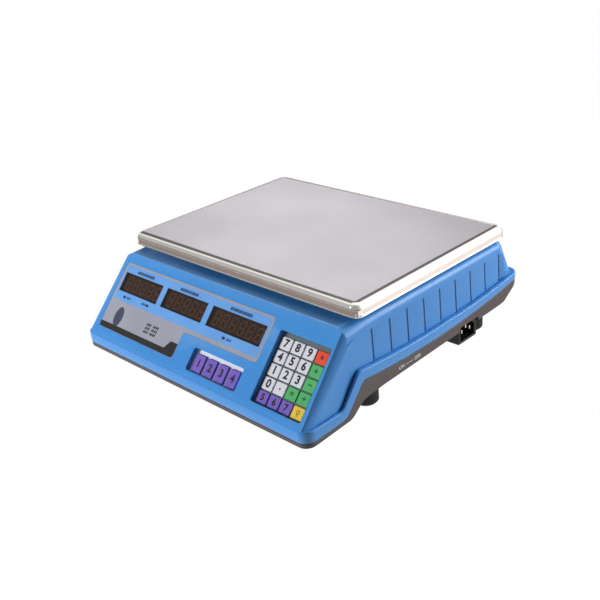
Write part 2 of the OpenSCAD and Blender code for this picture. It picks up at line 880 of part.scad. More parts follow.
module keypad_mat() {
    color(grey_mat) on_panel() difference() {
        main_opening(collar_t, -pocket_d - pad_t, -pocket_d);
        for (k = main_keys)
            plate_at(main_u(k[1]), main_s(k[2]), key_w + 2 * key_fit, key_h + 2 * key_fit,
                -pocket_d - pad_t - 1, 1 - pocket_d);
    }
}

module memory_pad() {
    color(white) on_panel() difference() {
        memory_opening(collar_t, -pocket_d - pad_t, -pocket_d);
        for (column = [0 : 3])
            plate_at(memory_u(column), memory_s, mem_key_w + 2 * key_fit, mem_key_h + 2 * key_fit,
                -pocket_d - pad_t - 1, 1 - pocket_d);
    }
}

module keypad_board() {
    left = mem_left - collar_t - 8;
    step_u = (mem_right + pad_left) / 2 + 4;
    right = inner_x - 0.7;
    top = pad_top_s + collar_t + 7;
    outline = [[left, 0], [right, 0], [right, top], [step_u, top], [step_u, mem_top_s + collar_t + 2],
        [left, mem_top_s + collar_t + 2]];
    color(board_green) on_panel() upright(outline, -key_board - board_t, -key_board);
}

module transformer() {
    coil_l = 0.55 * core_l;
    coil_w = core_w + 2 * coil_lip;
    color(steel) on_floor(core_x, core_y) {
        plate_at(0, 0, core_l + 2 * ear_l, core_w, wall_t, wall_t + ear_t);
        plate_at(0, 0, core_l, core_w, wall_t + ear_t, wall_t + ear_t + core_h);
        plate_at(0, 0, coil_l, coil_w, wall_t + ear_t + coil_foot, wall_t + ear_t + core_h - coil_foot);
    }
}

module battery() {
    post = 5;
    color(black) on_floor(battery_x, battery_y) {
        plate_at(0, 0, battery_l, battery_w, wall_t, wall_t + battery_h);
        for (side = [-1, 1])
            plate_at(battery_l / 2 + 1, side * battery_w / 4, post, post, wall_t + battery_h - 12,
                wall_t + battery_h - 6);
    }
}

module battery_door() {
    color(dark_plastic) on_floor(battery_x, battery_y) difference() {
        union() {
            plate_at(0, 0, door_l - 2 * fit, door_w - 2 * fit, 0, wall_t);
            for (side = [-1, 1])
                block(side * door_l / 4 - 6, -door_w / 2 - door_tab, wall_t, side * door_l / 4 + 6,
                    -battery_w / 2 - fit, wall_t + 2);
            block(-10, door_w / 2 - 2, -1.6, 10, door_w / 2 + door_lug, 0);
        }
        translate([0, door_w / 2 + door_lug / 2, 0]) peg(screw_d + 2 * fit, -3, 1);
    }
}

module inlet_frame() {
    translate([inlet_x, inlet_y, inlet_z]) rotate([0, 90, 0]) rotate([0, 0, 90]) children();
}

// The inlet's mouth: a rectangle with its two upper corners cut
function socket_outline() = [[-socket_w / 2, -socket_h / 2], [socket_w / 2, -socket_h / 2],
    [socket_w / 2, socket_h / 2 - 4], [socket_w / 2 - 4, socket_h / 2], [4 - socket_w / 2, socket_h / 2],
    [-socket_w / 2, socket_h / 2 - 4]];

pin_places = [[-pin_pitch, pin_rise - 2], [0, pin_rise + 2], [pin_pitch, pin_rise - 2]];

module inlet_body() {
    color(black) inlet_frame() difference() {
        plate_at(0, 0, inlet_w, inlet_h, -inlet_d, 0);
        upright(socket_outline(), -socket_d, 1);
        for (p = pin_places) plate_at(p[0], p[1], pin_w, pin_h, -inlet_d + 4, 0);
    }
}

module inlet_pins() {
    color(steel) inlet_frame() for (p = pin_places) plate_at(p[0], p[1], pin_w, pin_h, -inlet_d + 4, -2);
}

// The switch hangs under the floor with its rocker facing the table
module switch_frame() {
    on_floor(switch_x, switch_y) rotate([180, 0, 0]) children();
}

module rocker_pin(d) {
    translate([0, 0, -bezel_t]) rotate([0, 90, 0]) cylinder(d = d, h = switch_w - 2.4, center = true);
}

module switch_body() {
    color(black) switch_frame() difference() {
        union() {
            plate_at(0, 0, switch_w, switch_l, 0, bezel_t);
            plate_at(0, 0, switch_w - 2 * bezel_lip, switch_l - 2 * bezel_lip, -switch_d, 0);
        }
        plate_at(0, 0, rocker_w + 2 * key_fit, rocker_l + 2.4, -rocker_room, bezel_t + 1);
        rocker_pin(rocker_pin_d + 2 * run_fit);
    }
}

module switch_rocker() {
    half = rocker_l / 2;
    peak = half * tan(rocker_throw);
    outline = [[-half, -1], [0, -5], [half, -1], [half, 2 + peak], [0, 2], [-half, 2 + peak]];
    color(black) switch_frame() translate([0, 0, -bezel_t]) rotate([-rocker_throw, 0, 0]) {
        along_x(rocker_w / 2, outline);
        translate([0, 0, bezel_t]) rocker_pin(rocker_pin_d);
    }
}

module load_cell() {
    eye_d = 0.55 * cell_h;
    color(silver) difference() {
        block(-cell_l / 2, pan_y - cell_w / 2, cell_z, cell_l / 2, pan_y + cell_w / 2, cell_top);
        for (side = [-1, 1])
            translate([side * eye_d * 0.8, pan_y, cell_z + cell_h / 2]) rotate([90, 0, 0])
                cylinder(d = eye_d, h = cell_w + 2, center = true);
        translate([0, pan_y, cell_z + cell_h / 2]) cube([eye_d * 1.6, cell_w + 2, eye_d / 2], center = true);
        cell_bolt_places(-cell_bolt_x) peg(bolt_d + 2 * run_fit, cell_z - 1, cell_z + bolt_grip + 2);
        cell_bolt_places(cell_bolt_x) peg(bolt_d + 2 * run_fit, cell_top - bolt_grip - 4, cell_top + 1);
    }
}

module cell_spacer() {
    x = -cell_bolt_x;
    color(steel) difference() {
        block(x - cell_end / 2, pan_y - cell_w / 2, cell_seat_z, x + cell_end / 2, pan_y + cell_w / 2,
            cell_z);
        cell_bolt_places(x) peg(bolt_d + 2 * fit, 0, far);
    }
}

module spider_arm(angle) {
    reach = norm([post_dx, post_dy]) / 2;
    translate([0, pan_y, 0]) rotate([0, 0, angle])
        block(-reach, -arm_w / 2, spider_z, reach, arm_w / 2, spider_top);
}

module pan_spider() {
    spread = atan(post_dy / post_dx);
    color(steel) difference() {
        union() {
            spider_arm(spread);
            spider_arm(-spread);
            pan_posts() {
                peg(arm_end_d, spider_z, spider_top);
                peg(post_d, spider_top, pan_under_z - cap_top);
            }
            block(-cell_bolt_x, pan_y - cell_w / 2, spider_z, cell_bolt_x + cell_end / 2,
                pan_y + cell_w / 2, spider_top);
            block(cell_bolt_x - cell_end / 2, pan_y - cell_w / 2, cell_top, cell_bolt_x + cell_end / 2,
                pan_y + cell_w / 2, spider_z);
        }
        cell_bolt_places(cell_bolt_x) peg(bolt_d + 2 * fit, 0, far);
    }
}

module post_caps() {
    color(black) pan_posts() difference() {
        peg(cap_d, pan_under_z - cap_h, pan_under_z);
        peg(post_d + 2 * run_fit, 0, pan_under_z - cap_top);
    }
}

// Pan: a sheet tray turned upside down, with rounded upper edges and four locating rings
module pan_form(t) {
    x = pan_w / 2 - t;
    y = pan_d / 2 - t;
    top = pan_top_z - t;
    r = pan_edge_r - t;
    intersection() {
        upright(round_box(-x, -y, x, y, pan_r - t), rim_z - t, top);
        along_y(soften(box_outline(-x, -far, x, top), [0, 0, r, r]));
        along_x(far, soften(box_outline(-y, -far, y, top), [0, 0, r, r]));
    }
}

module weigh_pan() {
    color(steel) {
        translate([0, pan_y, 0]) difference() {
            pan_form(0);
            pan_form(pan_t);
        }
        pan_posts() difference() {
            peg(ring_d + 2 * ring_t, pan_under_z - ring_h, pan_under_z + pan_t / 2);
            peg(ring_d, 0, pan_under_z);
        }
    }
}

module screw(z) {
    translate([0, 0, z - screw_head_h]) cylinder(d = screw_head_d, h = screw_head_h);
    translate([0, 0, z]) cylinder(d = screw_d, h = screw_seat + screw_bite);
}

module case_screws() {
    color(steel) {
        both_sides() for (y = screw_ys) translate([screw_x, y, 0]) screw(seam_at(y) - screw_seat);
        on_floor(battery_x, battery_y) translate([0, door_w / 2 + door_lug / 2, 0]) {
            peg(screw_head_d, -1.6 - screw_head_h, -1.6);
            peg(screw_d, -1.6, 9);
        }
    }
}

module cell_bolts() {
    color(steel) cell_bolt_places(-cell_bolt_x) {
        peg(bolt_head_d, cell_seat_z - seat_roof - bolt_head_h, cell_seat_z - seat_roof);
        peg(bolt_d, cell_seat_z - seat_roof, cell_z + bolt_grip);
    }
}

module spider_bolts() {
    color(steel) cell_bolt_places(cell_bolt_x) {
        peg(bolt_head_d, spider_top, spider_top + bolt_head_h);
        peg(bolt_d, cell_top - bolt_grip, spider_top);
    }
}

// Feet: [name, x, y]
feet = [["front_right", foot_x, front_foot_y], ["front_left", -foot_x, front_foot_y],
    ["rear_right", rear_foot_x, rear_foot_y], ["rear_left", -rear_foot_x, rear_foot_y]];

module foot_stud(foot) {
    color(steel) translate([foot[1], foot[2], 0]) peg(stud_d, knob_h - stud_sink, knob_h + stud_l);
}

module foot_knob(foot) {
    sole = 2;
    color(black) translate([foot[1], foot[2], 0]) difference() {
        union() {
            cylinder(d1 = knob_d - 2 * sole, d2 = knob_d, h = sole);
            peg(knob_d, sole, knob_h);
        }
        peg(stud_d + 2 * run_fit, knob_h - stud_sink - run_fit, far);
    }
}

base_tray();
top_cover();
front_overlay();
front_filters();
front_digits();
front_board();
rear_overlay();
rear_filters();
rear_digits();
rear_board();
keypad_mat();
memory_pad();
keypad_board();
transformer();
battery();
battery_door();
inlet_body();
inlet_pins();
switch_body();
switch_rocker();
load_cell();
cell_spacer();
pan_spider();
post_caps();
weigh_pan();
case_screws();
cell_bolts();
spider_bolts();
for (foot = feet) {
    foot_stud(foot);
    foot_knob(foot);
}
for (key = main_keys) main_key(key);
for (column = [0 : 3]) memory_key(column);
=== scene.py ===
import bmesh
import bpy
from math import atan2, cos, pi, radians, sin, tan
from mathutils import Matrix, Vector


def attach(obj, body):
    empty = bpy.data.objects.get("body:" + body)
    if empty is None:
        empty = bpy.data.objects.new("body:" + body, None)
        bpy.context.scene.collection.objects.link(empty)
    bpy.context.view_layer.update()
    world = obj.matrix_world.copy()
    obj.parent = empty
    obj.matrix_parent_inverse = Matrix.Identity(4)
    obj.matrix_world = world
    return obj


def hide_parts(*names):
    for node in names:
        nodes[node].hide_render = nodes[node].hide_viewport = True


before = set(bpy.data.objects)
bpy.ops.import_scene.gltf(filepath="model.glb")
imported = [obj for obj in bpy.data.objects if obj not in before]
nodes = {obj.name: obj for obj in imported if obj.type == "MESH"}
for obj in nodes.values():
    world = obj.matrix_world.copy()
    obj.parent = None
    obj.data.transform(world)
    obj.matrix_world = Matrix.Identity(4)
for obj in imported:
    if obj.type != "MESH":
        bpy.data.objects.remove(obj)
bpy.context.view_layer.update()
scene = bpy.context.scene
scene.view_settings.view_transform = "Standard"
mm = 0.001


def tint(red, green, blue):
    # screen colour, 0 to 255, as the light value that a shader takes
    share = [c / 255 for c in (red, green, blue)]
    return tuple(((c + 0.055) / 1.055) ** 2.4 if c > 0.04 else c / 12.92 for c in share) + (1.0,)


# Shader groups that several finishes share
mouldedPlain = {"grain": 1500, "cloud": 14, "bump": 0.25, "depth": 0.03}
metalPlain = {"across": 900.0, "along": 6.0, "haze": 0.05, "bump": 0.1, "depth": 0.01}
texture = {"grainDetail": 2, "cloudDetail": 4, "cloudRange": (0.3, 0.7), "rubAndHighlightStart": 0.53, "rubAndHighlightFull": 0.62,
           "rubAndHighlightScale": 60, "rubAndHighlightDetail": 4, "lineDetail": 3, "lineRange": (0.3, 0.7), "smudgeScale": 9,
           "smudgeDetail": 5, "smudgeRange": (0.35, 0.7)}


def startGroup(name, inputs, outputs):
    tree = bpy.data.node_groups.new(name, "ShaderNodeTree")
    for label, value in inputs.items():
        socket = tree.interface.new_socket(label, in_out="INPUT", socket_type="NodeSocketFloat")
        socket.default_value = value
    for label in outputs:
        tree.interface.new_socket(label, in_out="OUTPUT", socket_type="NodeSocketFloat")
    return tree, tree.nodes.new("NodeGroupInput"), tree.nodes.new("NodeGroupOutput")


def calc(tree, operation, *values):
    node = tree.nodes.new("ShaderNodeMath")
    node.operation = operation
    for socket, value in zip(node.inputs, values):
        if isinstance(value, (int, float)):
            socket.default_value = value
        else:
            tree.links.new(value, socket)
    return node.outputs[0]


def noise(tree, where, scale, detail):
    node = tree.nodes.new("ShaderNodeTexNoise")
    node.inputs["Detail"].default_value = detail
    tree.links.new(where, node.inputs["Vector"])
    if isinstance(scale, (int, float)):
        node.inputs["Scale"].default_value = scale
    else:
        tree.links.new(scale, node.inputs["Scale"])
    return node.outputs[0]


def spread(tree, value, low, high, toLow, toHigh):
    node = tree.nodes.new("ShaderNodeMapRange")
    tree.links.new(value, node.inputs["Value"])
    for label, number in zip(("From Min", "From Max", "To Min", "To Max"), (low, high, toLow, toHigh)):
        node.inputs[label].default_value = number
    return node.outputs[0]


def mouldGrain():
    # fine grain of a moulded skin, and the slow clouds of its colour and gloss
    scales = {"Grain Scale": mouldedPlain["grain"], "Cloud Scale": mouldedPlain["cloud"]}
    tree, given, made = startGroup("mouldGrain", scales, ("Grain", "Cloud"))
    where = tree.nodes.new("ShaderNodeTexCoord").outputs["Object"]
    grain = noise(tree, where, given.outputs["Grain Scale"], texture["grainDetail"])
    cloud = noise(tree, where, given.outputs["Cloud Scale"], texture["cloudDetail"])
    tree.links.new(grain, made.inputs["Grain"])
    tree.links.new(spread(tree, cloud, *texture["cloudRange"], 0, 1), made.inputs["Cloud"])
    return tree


def edgeRub():
    # edges that hands and cloths have rubbed, made lighter, which on some finishes is also a painted
    # highlight along sharp edges
    limits = {"Start": texture["rubAndHighlightStart"], "Full": texture["rubAndHighlightFull"]}
    tree, given, made = startGroup("edgeRub", limits, ("RubAndHighlight",))
    form = tree.nodes.new("ShaderNodeNewGeometry")
    where = tree.nodes.new("ShaderNodeTexCoord").outputs["Object"]
    rise = calc(tree, "SUBTRACT", form.outputs["Pointiness"], given.outputs["Start"])
    width = calc(tree, "SUBTRACT", given.outputs["Full"], given.outputs["Start"])
    edge = calc(tree, "DIVIDE", rise, width)
    broken = calc(tree, "MULTIPLY", edge, noise(tree, where, texture["rubAndHighlightScale"], texture["rubAndHighlightDetail"]))
    limit = tree.nodes.new("ShaderNodeClamp")
    tree.links.new(broken, limit.inputs[0])
    tree.links.new(limit.outputs[0], made.inputs["RubAndHighlight"])
    return tree


def brushLines():
    # straight fine lines left by the polishing belt
    scales = {"Across": metalPlain["across"], "Along": metalPlain["along"]}
    tree, given, made = startGroup("brushLines", scales, ("Line", "Smudge"))
    where = tree.nodes.new("ShaderNodeTexCoord").outputs["Object"]
    split = tree.nodes.new("ShaderNodeSeparateXYZ")
    joined = tree.nodes.new("ShaderNodeCombineXYZ")
    tree.links.new(where, split.inputs[0])
    for axis, label in ((0, "Along"), (1, "Across"), (2, "Across")):
        tree.links.new(calc(tree, "MULTIPLY", split.outputs[axis], given.outputs[label]), joined.inputs[axis])
    smudge = noise(tree, where, texture["smudgeScale"], texture["smudgeDetail"])
    tree.links.new(noise(tree, joined.outputs[0], 1.0, texture["lineDetail"]), made.inputs["Line"])
    tree.links.new(spread(tree, smudge, *texture["smudgeRange"], 0, 1), made.inputs["Smudge"])
    return tree


groups = {"grain": mouldGrain(), "rubAndHighlight": edgeRub(), "brush": brushLines()}


def useGroup(tree, name, **values):
    node = tree.nodes.new("ShaderNodeGroup")
    node.node_tree = groups[name]
    for label, value in values.items():
        node.inputs[label].default_value = value
    return node


def blendTint(tree, factor, first, second):
    node = tree.nodes.new("ShaderNodeMix")
    node.data_type = "RGBA"
    tree.links.new(factor, node.inputs[0])
    for socket, value in ((node.inputs[6], first), (node.inputs[7], second)):
        if isinstance(value, tuple):
            socket.default_value = value
        else:
            tree.links.new(value, socket)
    return node.outputs[2]


def roughen(tree, skin, height, strength, depth):
    bump = tree.nodes.new("ShaderNodeBump")
    bump.inputs["Strength"].default_value = strength
    bump.inputs["Distance"].default_value = depth * mm
    tree.links.new(height, bump.inputs["Height"])
    tree.links.new(bump.outputs[0], skin.inputs["Normal"])


def startFinish(name, look):
    material = bpy.data.materials.new(name)
    material.use_nodes = True
    skin = material.node_tree.nodes["Principled BSDF"]
    for label, value in look.get("fixed", {}).items():
        skin.inputs[label].default_value = value
    return material, material.node_tree, skin


def moulded(name, look):
    # plastics, rubbers and prints
    look = {**mouldedPlain, **look}
    material, tree, skin = startFinish(name, look)
    grain = useGroup(tree, "grain", **{"Grain Scale": look["grain"], "Cloud Scale": look["cloud"]})
    base = blendTint(tree, grain.outputs["Cloud"], tint(*look["tint"]), tint(*look["shade"]))
    # sharp edges turn lighter: wear on every finish, and a painted highlight on the cover and the black
    # plastic
    if "rubAndHighlight" in look:
        rubAndHighlight = useGroup(tree, "rubAndHighlight")
        base = blendTint(tree, rubAndHighlight.outputs["RubAndHighlight"], base, tint(*look["rubAndHighlight"]))
    tree.links.new(base, skin.inputs["Base Color"])
    rough = spread(tree, grain.outputs["Cloud"], 0, 1, *look["rough"])
    tree.links.new(rough, skin.inputs["Roughness"])
    roughen(tree, skin, grain.outputs["Grain"], look["bump"], look["depth"])
    return material


def metal(name, look):
    look = {**metalPlain, **look}
    material, tree, skin = startFinish(name, look)
    skin.inputs["Metallic"].default_value = 1.0
    brush = useGroup(tree, "brush", Across=look["across"], Along=look["along"])
    base = blendTint(tree, brush.outputs["Smudge"], tint(*look["tint"]), tint(*look["shade"]))
    tree.links.new(base, skin.inputs["Base Color"])
    rough = calc(tree, "ADD", spread(tree, brush.outputs["Line"], *texture["lineRange"], *look["rough"]),
                 spread(tree, brush.outputs["Smudge"], 0, 1, 0, look["haze"]))
    tree.links.new(rough, skin.inputs["Roughness"])
    roughen(tree, skin, brush.outputs["Line"], look["bump"], look["depth"])
    return material


# Frames, all from millimetres to the part's metres
part = Matrix.Scale(mm, 4)
panelFoot = {"y": -171.0, "z": 25.2, "tilt": 48.0}
backFoot = {"y": 166.0, "z": 63.648, "lean": 23.6}
floorLine = {"frontY": -63.0, "frontZ": 24.8, "backY": 143.0, "backZ": 30.3}
panelTilt = radians(panelFoot["tilt"])
backLean = radians(backFoot["lean"])
floorPitch = atan2(floorLine["backZ"] - floorLine["frontZ"], floorLine["backY"] - floorLine["frontY"])
panel = (Matrix.Translation((0, panelFoot["y"] * mm, panelFoot["z"] * mm))
         @ Matrix.Rotation(panelTilt, 4, "X") @ part)
back = (Matrix.Translation((0, backFoot["y"] * mm, backFoot["z"] * mm)) @ Matrix.Rotation(pi, 4, "Z")
        @ Matrix.Rotation(radians(90 - backFoot["lean"]), 4, "X") @ part)


def floorZ(y):
    return floorLine["frontZ"] + (y - floorLine["frontY"]) * tan(floorPitch)


def floorAt(x, y):
    return Matrix.Translation((x * mm, y * mm, floorZ(y) * mm)) @ Matrix.Rotation(floorPitch, 4, "X") @ part


def nodeBox(name, place=part):
    # a solid's lowest and highest corners in a frame of its own, in millimetres
    turn = place.inverted()
    points = [turn @ v.co for v in nodes[name].data.vertices]
    return [[pick(p[i] for p in points) for i in range(3)] for pick in (min, max)]


# Shapes: each is a pair of points and faces in millimetres
leastRound = 0.05
softSteps = 5
smoothAngle = 35
flatAngle = 0.1
past = 2.0
lettering = {"perHeight": 1.37, "curveSteps": 4, "weld": 0.001}


def quarter(steps, start=0):
    # angles over a quarter turn, both ends included
    return [radians(start + 90 * i / steps) for i in range(steps + 1)]


def circle(steps):
    return [2 * pi * i / steps for i in range(steps)]


def loft(rings, strips=False):
    count = len(rings[0])
    points = [p for ring in rings for p in ring]
    faces = []
    for k in range(len(rings) - 1):
        a = k * count
        b = a + count
        for i in range(count):
            j = (i + 1) % count
            faces.append((a + i, a + j, b + j, b + i))
    last = (len(rings) - 1) * count
    for start, flip in ((0, True), (last, False)):
        if strips:
            cap = [(i, i + 1, count - 2 - i, count - 1 - i) for i in range(count // 2 - 1)]
        else:
            cap = [tuple(range(count))]
        for face in cap:
            face = tuple(start + i for i in face)
            faces.append(face[::-1] if flip else face)
    return points, faces


def arc(cx, cy, ax, ay, start, steps=8):
    return [(cx + ax * cos(a), cy + ay * sin(a)) for a in quarter(steps, start)]


def roundBox(x0, y0, x1, y1, r, steps=6):
    return (arc(x1 - r, y0 + r, r, r, -90, steps) + arc(x1 - r, y1 - r, r, r, 0, steps)
            + arc(x0 + r, y1 - r, r, r, 90, steps) + arc(x0 + r, y0 + r, r, r, 180, steps))


def slab(x0, y0, x1, y1, r, levels, steps=6):
    # levels are pairs of inset and height
    rings = []
    for inset, height in levels:
        ring = roundBox(x0 + inset, y0 + inset, x1 - inset, y1 - inset, max(r - inset, leastRound), steps)
        rings.append([(x, y, height) for x, y in ring])
    return loft(rings)


def crown(low, high, r, steps=4):
    # levels of a slab with rounded upper edges
    return [(0, low)] + [(r - r * cos(a), high - r + r * sin(a)) for a in quarter(steps)]


def tube(rings):
    # a loft with no ends, whose last ring joins the first
    count = len(rings[0])
    last = (len(rings) - 1) * count
    points, faces = loft(rings)
    faces = [f for f in faces if len(f) == 4]
    return points, faces + [(last + i, last + (i + 1) % count, (i + 1) % count, i) for i in range(count)]


def lathe(profile, steps=40):
    # profile holds pairs of radius and height
    return loft([[(r * cos(a), r * sin(a), z) for a in circle(steps)] for r, z in profile])


def prism(outline, low, high):
    return loft([[(x, y, low) for x, y in outline], [(x, y, high) for x, y in outline]])


def box(x0, y0, z0, x1, y1, z1):
    return prism([(x0, y0), (x1, y0), (x1, y1), (x0, y1)], z0, z1)


def shift(shape, x, y, z=0.0):
    return [(a + x, b + y, c + z) for a, b, c in shape[0]], shape[1]


def mirrored(shape):
    return [(-x, y, z) for x, y, z in shape[0]], [f[::-1] for f in shape[1]]


def softOutline(corners, r, inset=0.0):
    # a right-angled outline, counter-clockwise, with rounded corners
    result = []
    for i, corner in enumerate(corners):
        p = Vector(corner)
        into = (p - Vector(corners[i - 1])).normalized()
        away = (Vector(corners[(i + 1) % len(corners)]) - p).normalized()
        turn = 1 if into.x * away.y - into.y * away.x > 0 else -1
        p = p + inset * (Vector((-into.y, into.x)) + Vector((-away.y, away.x)))
        radius = max(r - turn * inset, leastRound)
        centre = p + radius * (away - into)
        for a in quarter(softSteps):
            result.append(tuple(centre - radius * (away * cos(a) - into * sin(a))))
    return result


def word(text, height, bold, lift):
    # numbers and the two words of the switch, as thin printed plates
    curve = bpy.data.curves.new("word", "FONT")
    curve.body = text
    curve.size = height * lettering["perHeight"]
    curve.offset = bold
    curve.extrude = lift / 2
    curve.resolution_u = lettering["curveSteps"]
    curve.align_x = "CENTER"
    curve.align_y = "CENTER"
    holder = bpy.data.objects.new("word", curve)
    scene.collection.objects.link(holder)
    mesh = bpy.data.meshes.new_from_object(holder.evaluated_get(bpy.context.evaluated_depsgraph_get()))
    bm = bmesh.new()
    bm.from_mesh(mesh)
    bmesh.ops.remove_doubles(bm, verts=bm.verts, dist=lettering["weld"])
    bm.verts.index_update()
    shape = [tuple(v.co) for v in bm.verts], [tuple(v.index for v in f.verts) for f in bm.faces]
    bm.free()
    bpy.data.objects.remove(holder)
    bpy.data.curves.remove(curve)
    bpy.data.meshes.remove(mesh)
    return shape


def piece(name, shapes, finishes, place=part, angle=smoothAngle):
    # one mesh from several shapes, with one material or with one for each shape
    points = []
    faces = []
    picks = []
    kinds = list(dict.fromkeys(finishes)) if isinstance(finishes, list) else [finishes]
    for i, (shapePoints, shapeFaces) in enumerate(shapes):
        start = len(points)
        points += [place @ Vector(p) for p in shapePoints]
        faces += [tuple(start + k for k in f) for f in shapeFaces]
        picks += [kinds.index(finishes[i]) if isinstance(finishes, list) else 0] * len(shapeFaces)
    mesh = bpy.data.meshes.new(name)
    mesh.from_pydata(points, [], faces)
    for finish in kinds:
        mesh.materials.append(finish)
    mesh.polygons.foreach_set("material_index", picks)
    bm = bmesh.new()
    bm.from_mesh(mesh)
    bmesh.ops.recalc_face_normals(bm, faces=bm.faces)
    bm.to_mesh(mesh)
    bm.free()
    obj = bpy.data.objects.new(name, mesh)
    scene.collection.objects.link(obj)
    polish(obj, angle)
    return obj


def mergeFlats(obj):
    # faces in one plane become one face, which cuts cleanly
    bm = bmesh.new()
    bm.from_mesh(obj.data)
    bmesh.ops.dissolve_limit(bm, angle_limit=radians(flatAngle), verts=bm.verts, edges=bm.edges)
    bm.to_mesh(obj.data)
    bm.free()


def polish(obj, angle=smoothAngle):
    obj.data.shade_smooth()
    obj.data.set_sharp_from_angle(angle=radians(angle))
    obj.modifiers.clear()
    weigh = obj.modifiers.new("weigh", "WEIGHTED_NORMAL")
    weigh.keep_sharp = True


def carve(obj, shapes, place=part, how="DIFFERENCE"):
    # shapes is a list, or a list of pairs of shape and frame
    made = [s if isinstance(s[1], Matrix) else (s, place) for s in shapes]
    tool = piece("tool", [([tuple(where @ Vector(p)) for p in s[0]], s[1]) for s, where in made], None,
                 Matrix.Identity(4))
    tool.modifiers.clear()
    obj.modifiers.clear()
    cut = obj.modifiers.new("cut", "BOOLEAN")
    cut.operation = how
    cut.solver = "EXACT"
    cut.object = tool
    result = bpy.data.meshes.new_from_object(obj.evaluated_get(bpy.context.evaluated_depsgraph_get()))
    old = obj.data
    obj.modifiers.clear()
    obj.data = result
    result.name = obj.name
    for data in (old, tool.data):
        bpy.data.meshes.remove(data)
    polish(obj)
    return obj


def settle(obj, body, slot, *stands):
    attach(obj, body)
    if stands:
        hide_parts(*stands)
    return obj


# The seam between cover and base, and the ledge over the skirt, both seen from the side
case = {"halfWidth": 174.5, "halfDepth": 172.0, "wall": 2.5, "planRadius": 12.0, "skirt": 11.0,
        "seamGap": 0.8, "seamLow": 39.2, "seamLowY": 8.0, "seamBend": 1000.0, "frontSeam": 12.5,
        "chinSeam": 14.8, "chinY": -118.5, "riseY": -93.0, "taperY": 40.0, "taper": 3.6,
        "ledgeTurns": ((-123.26, 25.2), (-98.03, 55.82)), "soften": 4.0, "softSteps": 4}


def seamCurve(y):
    return case["seamLow"] + (y - case["seamLowY"]) ** 2 / (2 * case["seamBend"])


def slope(y, first, second):
    share = min(max((y - first[0]) / (second[0] - first[0]), 0), 1)
    return first[1] + share * (second[1] - first[1])


def seamSharp(y):
    if y > case["riseY"]:
        return seamCurve(y)
    if y > case["chinY"]:
        return slope(y, (case["chinY"], case["chinSeam"]), (case["riseY"], seamCurve(case["riseY"])))
    return slope(y, (-case["halfDepth"], case["frontSeam"]), (case["chinY"], case["chinSeam"]))


def ledgeSharp(y):
    if y > case["ledgeTurns"][1][0]:
        lower = case["taper"] * max(y - case["taperY"], 0) / (case["halfDepth"] - case["taperY"])
        return seamCurve(y) + case["skirt"] - lower
    return slope(y, *case["ledgeTurns"])


def softened(line, y):
    steps = case["softSteps"]
    shifts = [case["soften"] * k / steps for k in range(-steps, steps + 1)]
    return sum(line(y + s) for s in shifts) / len(shifts)


def seamZ(y):
    return softened(seamSharp, y)


def ledgeZ(y):
    return softened(ledgeSharp, y)


# Places along the sides, close together where the skirt rises: first, step and count
sideRuns = ((-150, 6.5, 3), (-131, 1.5, 28), (-86, 7.9, 30))
sideYs = [first + step * i for first, step, count in sideRuns for i in range(count)]


def whole(half):
    return half + [(-x, y, z) for x, y, z in reversed(half)]


def skirtRing(inset, front, height):
    x = case["halfWidth"] - inset
    y0 = front - case["halfDepth"]
    y1 = case["halfDepth"] - inset
    r = case["planRadius"] - inset
    plan = arc(x - r, y0 + r, r, r, -90) + [(x, y) for y in sideYs] + arc(x - r, y1 - r, r, r, 0)
    return whole([(px, py, height(py)) for px, py in plan])


# Cover
cover = {"deck": 99.812, "deckHalf": 167.5, "draft": 2.5, "frontCorner": (4.2, 10.0), "frontFlat": 0.6,
         "backCorner": (12.0, 12.0), "cornerGap": 1.0, "midZ": 60.0, "browRound": 4.0, "sideRound": 9.0,
         "deckSteps": 6, "skirtRound": 1.9, "chinRound": 0.9, "skirtSteps": 5, "seamBevel": (0.4, 0.5),
         "innerCorner": 6.5}
draft = radians(cover["draft"])
# the lighter blue at the cover's sharp edges is wear and also a painted highlight along them
coverLook = {"tint": (53, 134, 208), "shade": (59, 140, 214), "rubAndHighlight": (130, 172, 214), "rough": (0.34, 0.42),
             "grain": 1800, "cloud": 9, "bump": 0.2, "depth": 0.02,
             "fixed": {"Coat Weight": 0.12, "Specular IOR Level": 0.75}}
coverBlue = moulded("coverBlue", coverLook)
# a darker blue for the bottoms of the side grooves and of the skirt line: painted shade
creaseShadeLook = {**coverLook, "tint": (40, 92, 150), "shade": (46, 98, 156), "rubAndHighlight": (60, 112, 168),
              "rough": (0.5, 0.6)}
creaseShadeBlue = moulded("creaseShadeBlue", creaseShadeLook)


def wallX(z):
    return cover["deckHalf"] + (cover["deck"] - z) * tan(draft)


def panelY(z):
    return panelFoot["y"] + (z - panelFoot["z"]) / tan(panelTilt)


def backY(z):
    return backFoot["y"] - (z - backFoot["z"]) * tan(backLean)


def bodyPlan(x, front, rear, ys):
    fx, fy = cover["frontCorner"]
    bx, by = cover["backCorner"]
    corner = arc(x - fx, front + fy, fx, fy, -90)
    flat = cover["frontFlat"]
    for k, (px, py) in enumerate(corner):
        share = k / (len(corner) - 1)
        corner[k] = (px + flat * (x - fx + fx * share - px), py + flat * (front + fy * share - py))
    return corner + [(x, y) for y in ys] + arc(x - bx, rear - by, bx, by, 0)


def deckRing(inset, drop):
    z = cover["deck"] - drop
    front = panelY(z) + inset / sin(panelTilt)
    rear = backY(z) - inset / cos(backLean)
    y0 = front + cover["frontCorner"][1] + cover["cornerGap"]
    y1 = rear - cover["backCorner"][1] - cover["cornerGap"]
    share = [(y - sideYs[0]) / (sideYs[-1] - sideYs[0]) for y in sideYs]
    plan = bodyPlan(wallX(z) - inset, front, rear, [y0 + s * (y1 - y0) for s in share])
    return whole([(x, y, z) for x, y in plan])


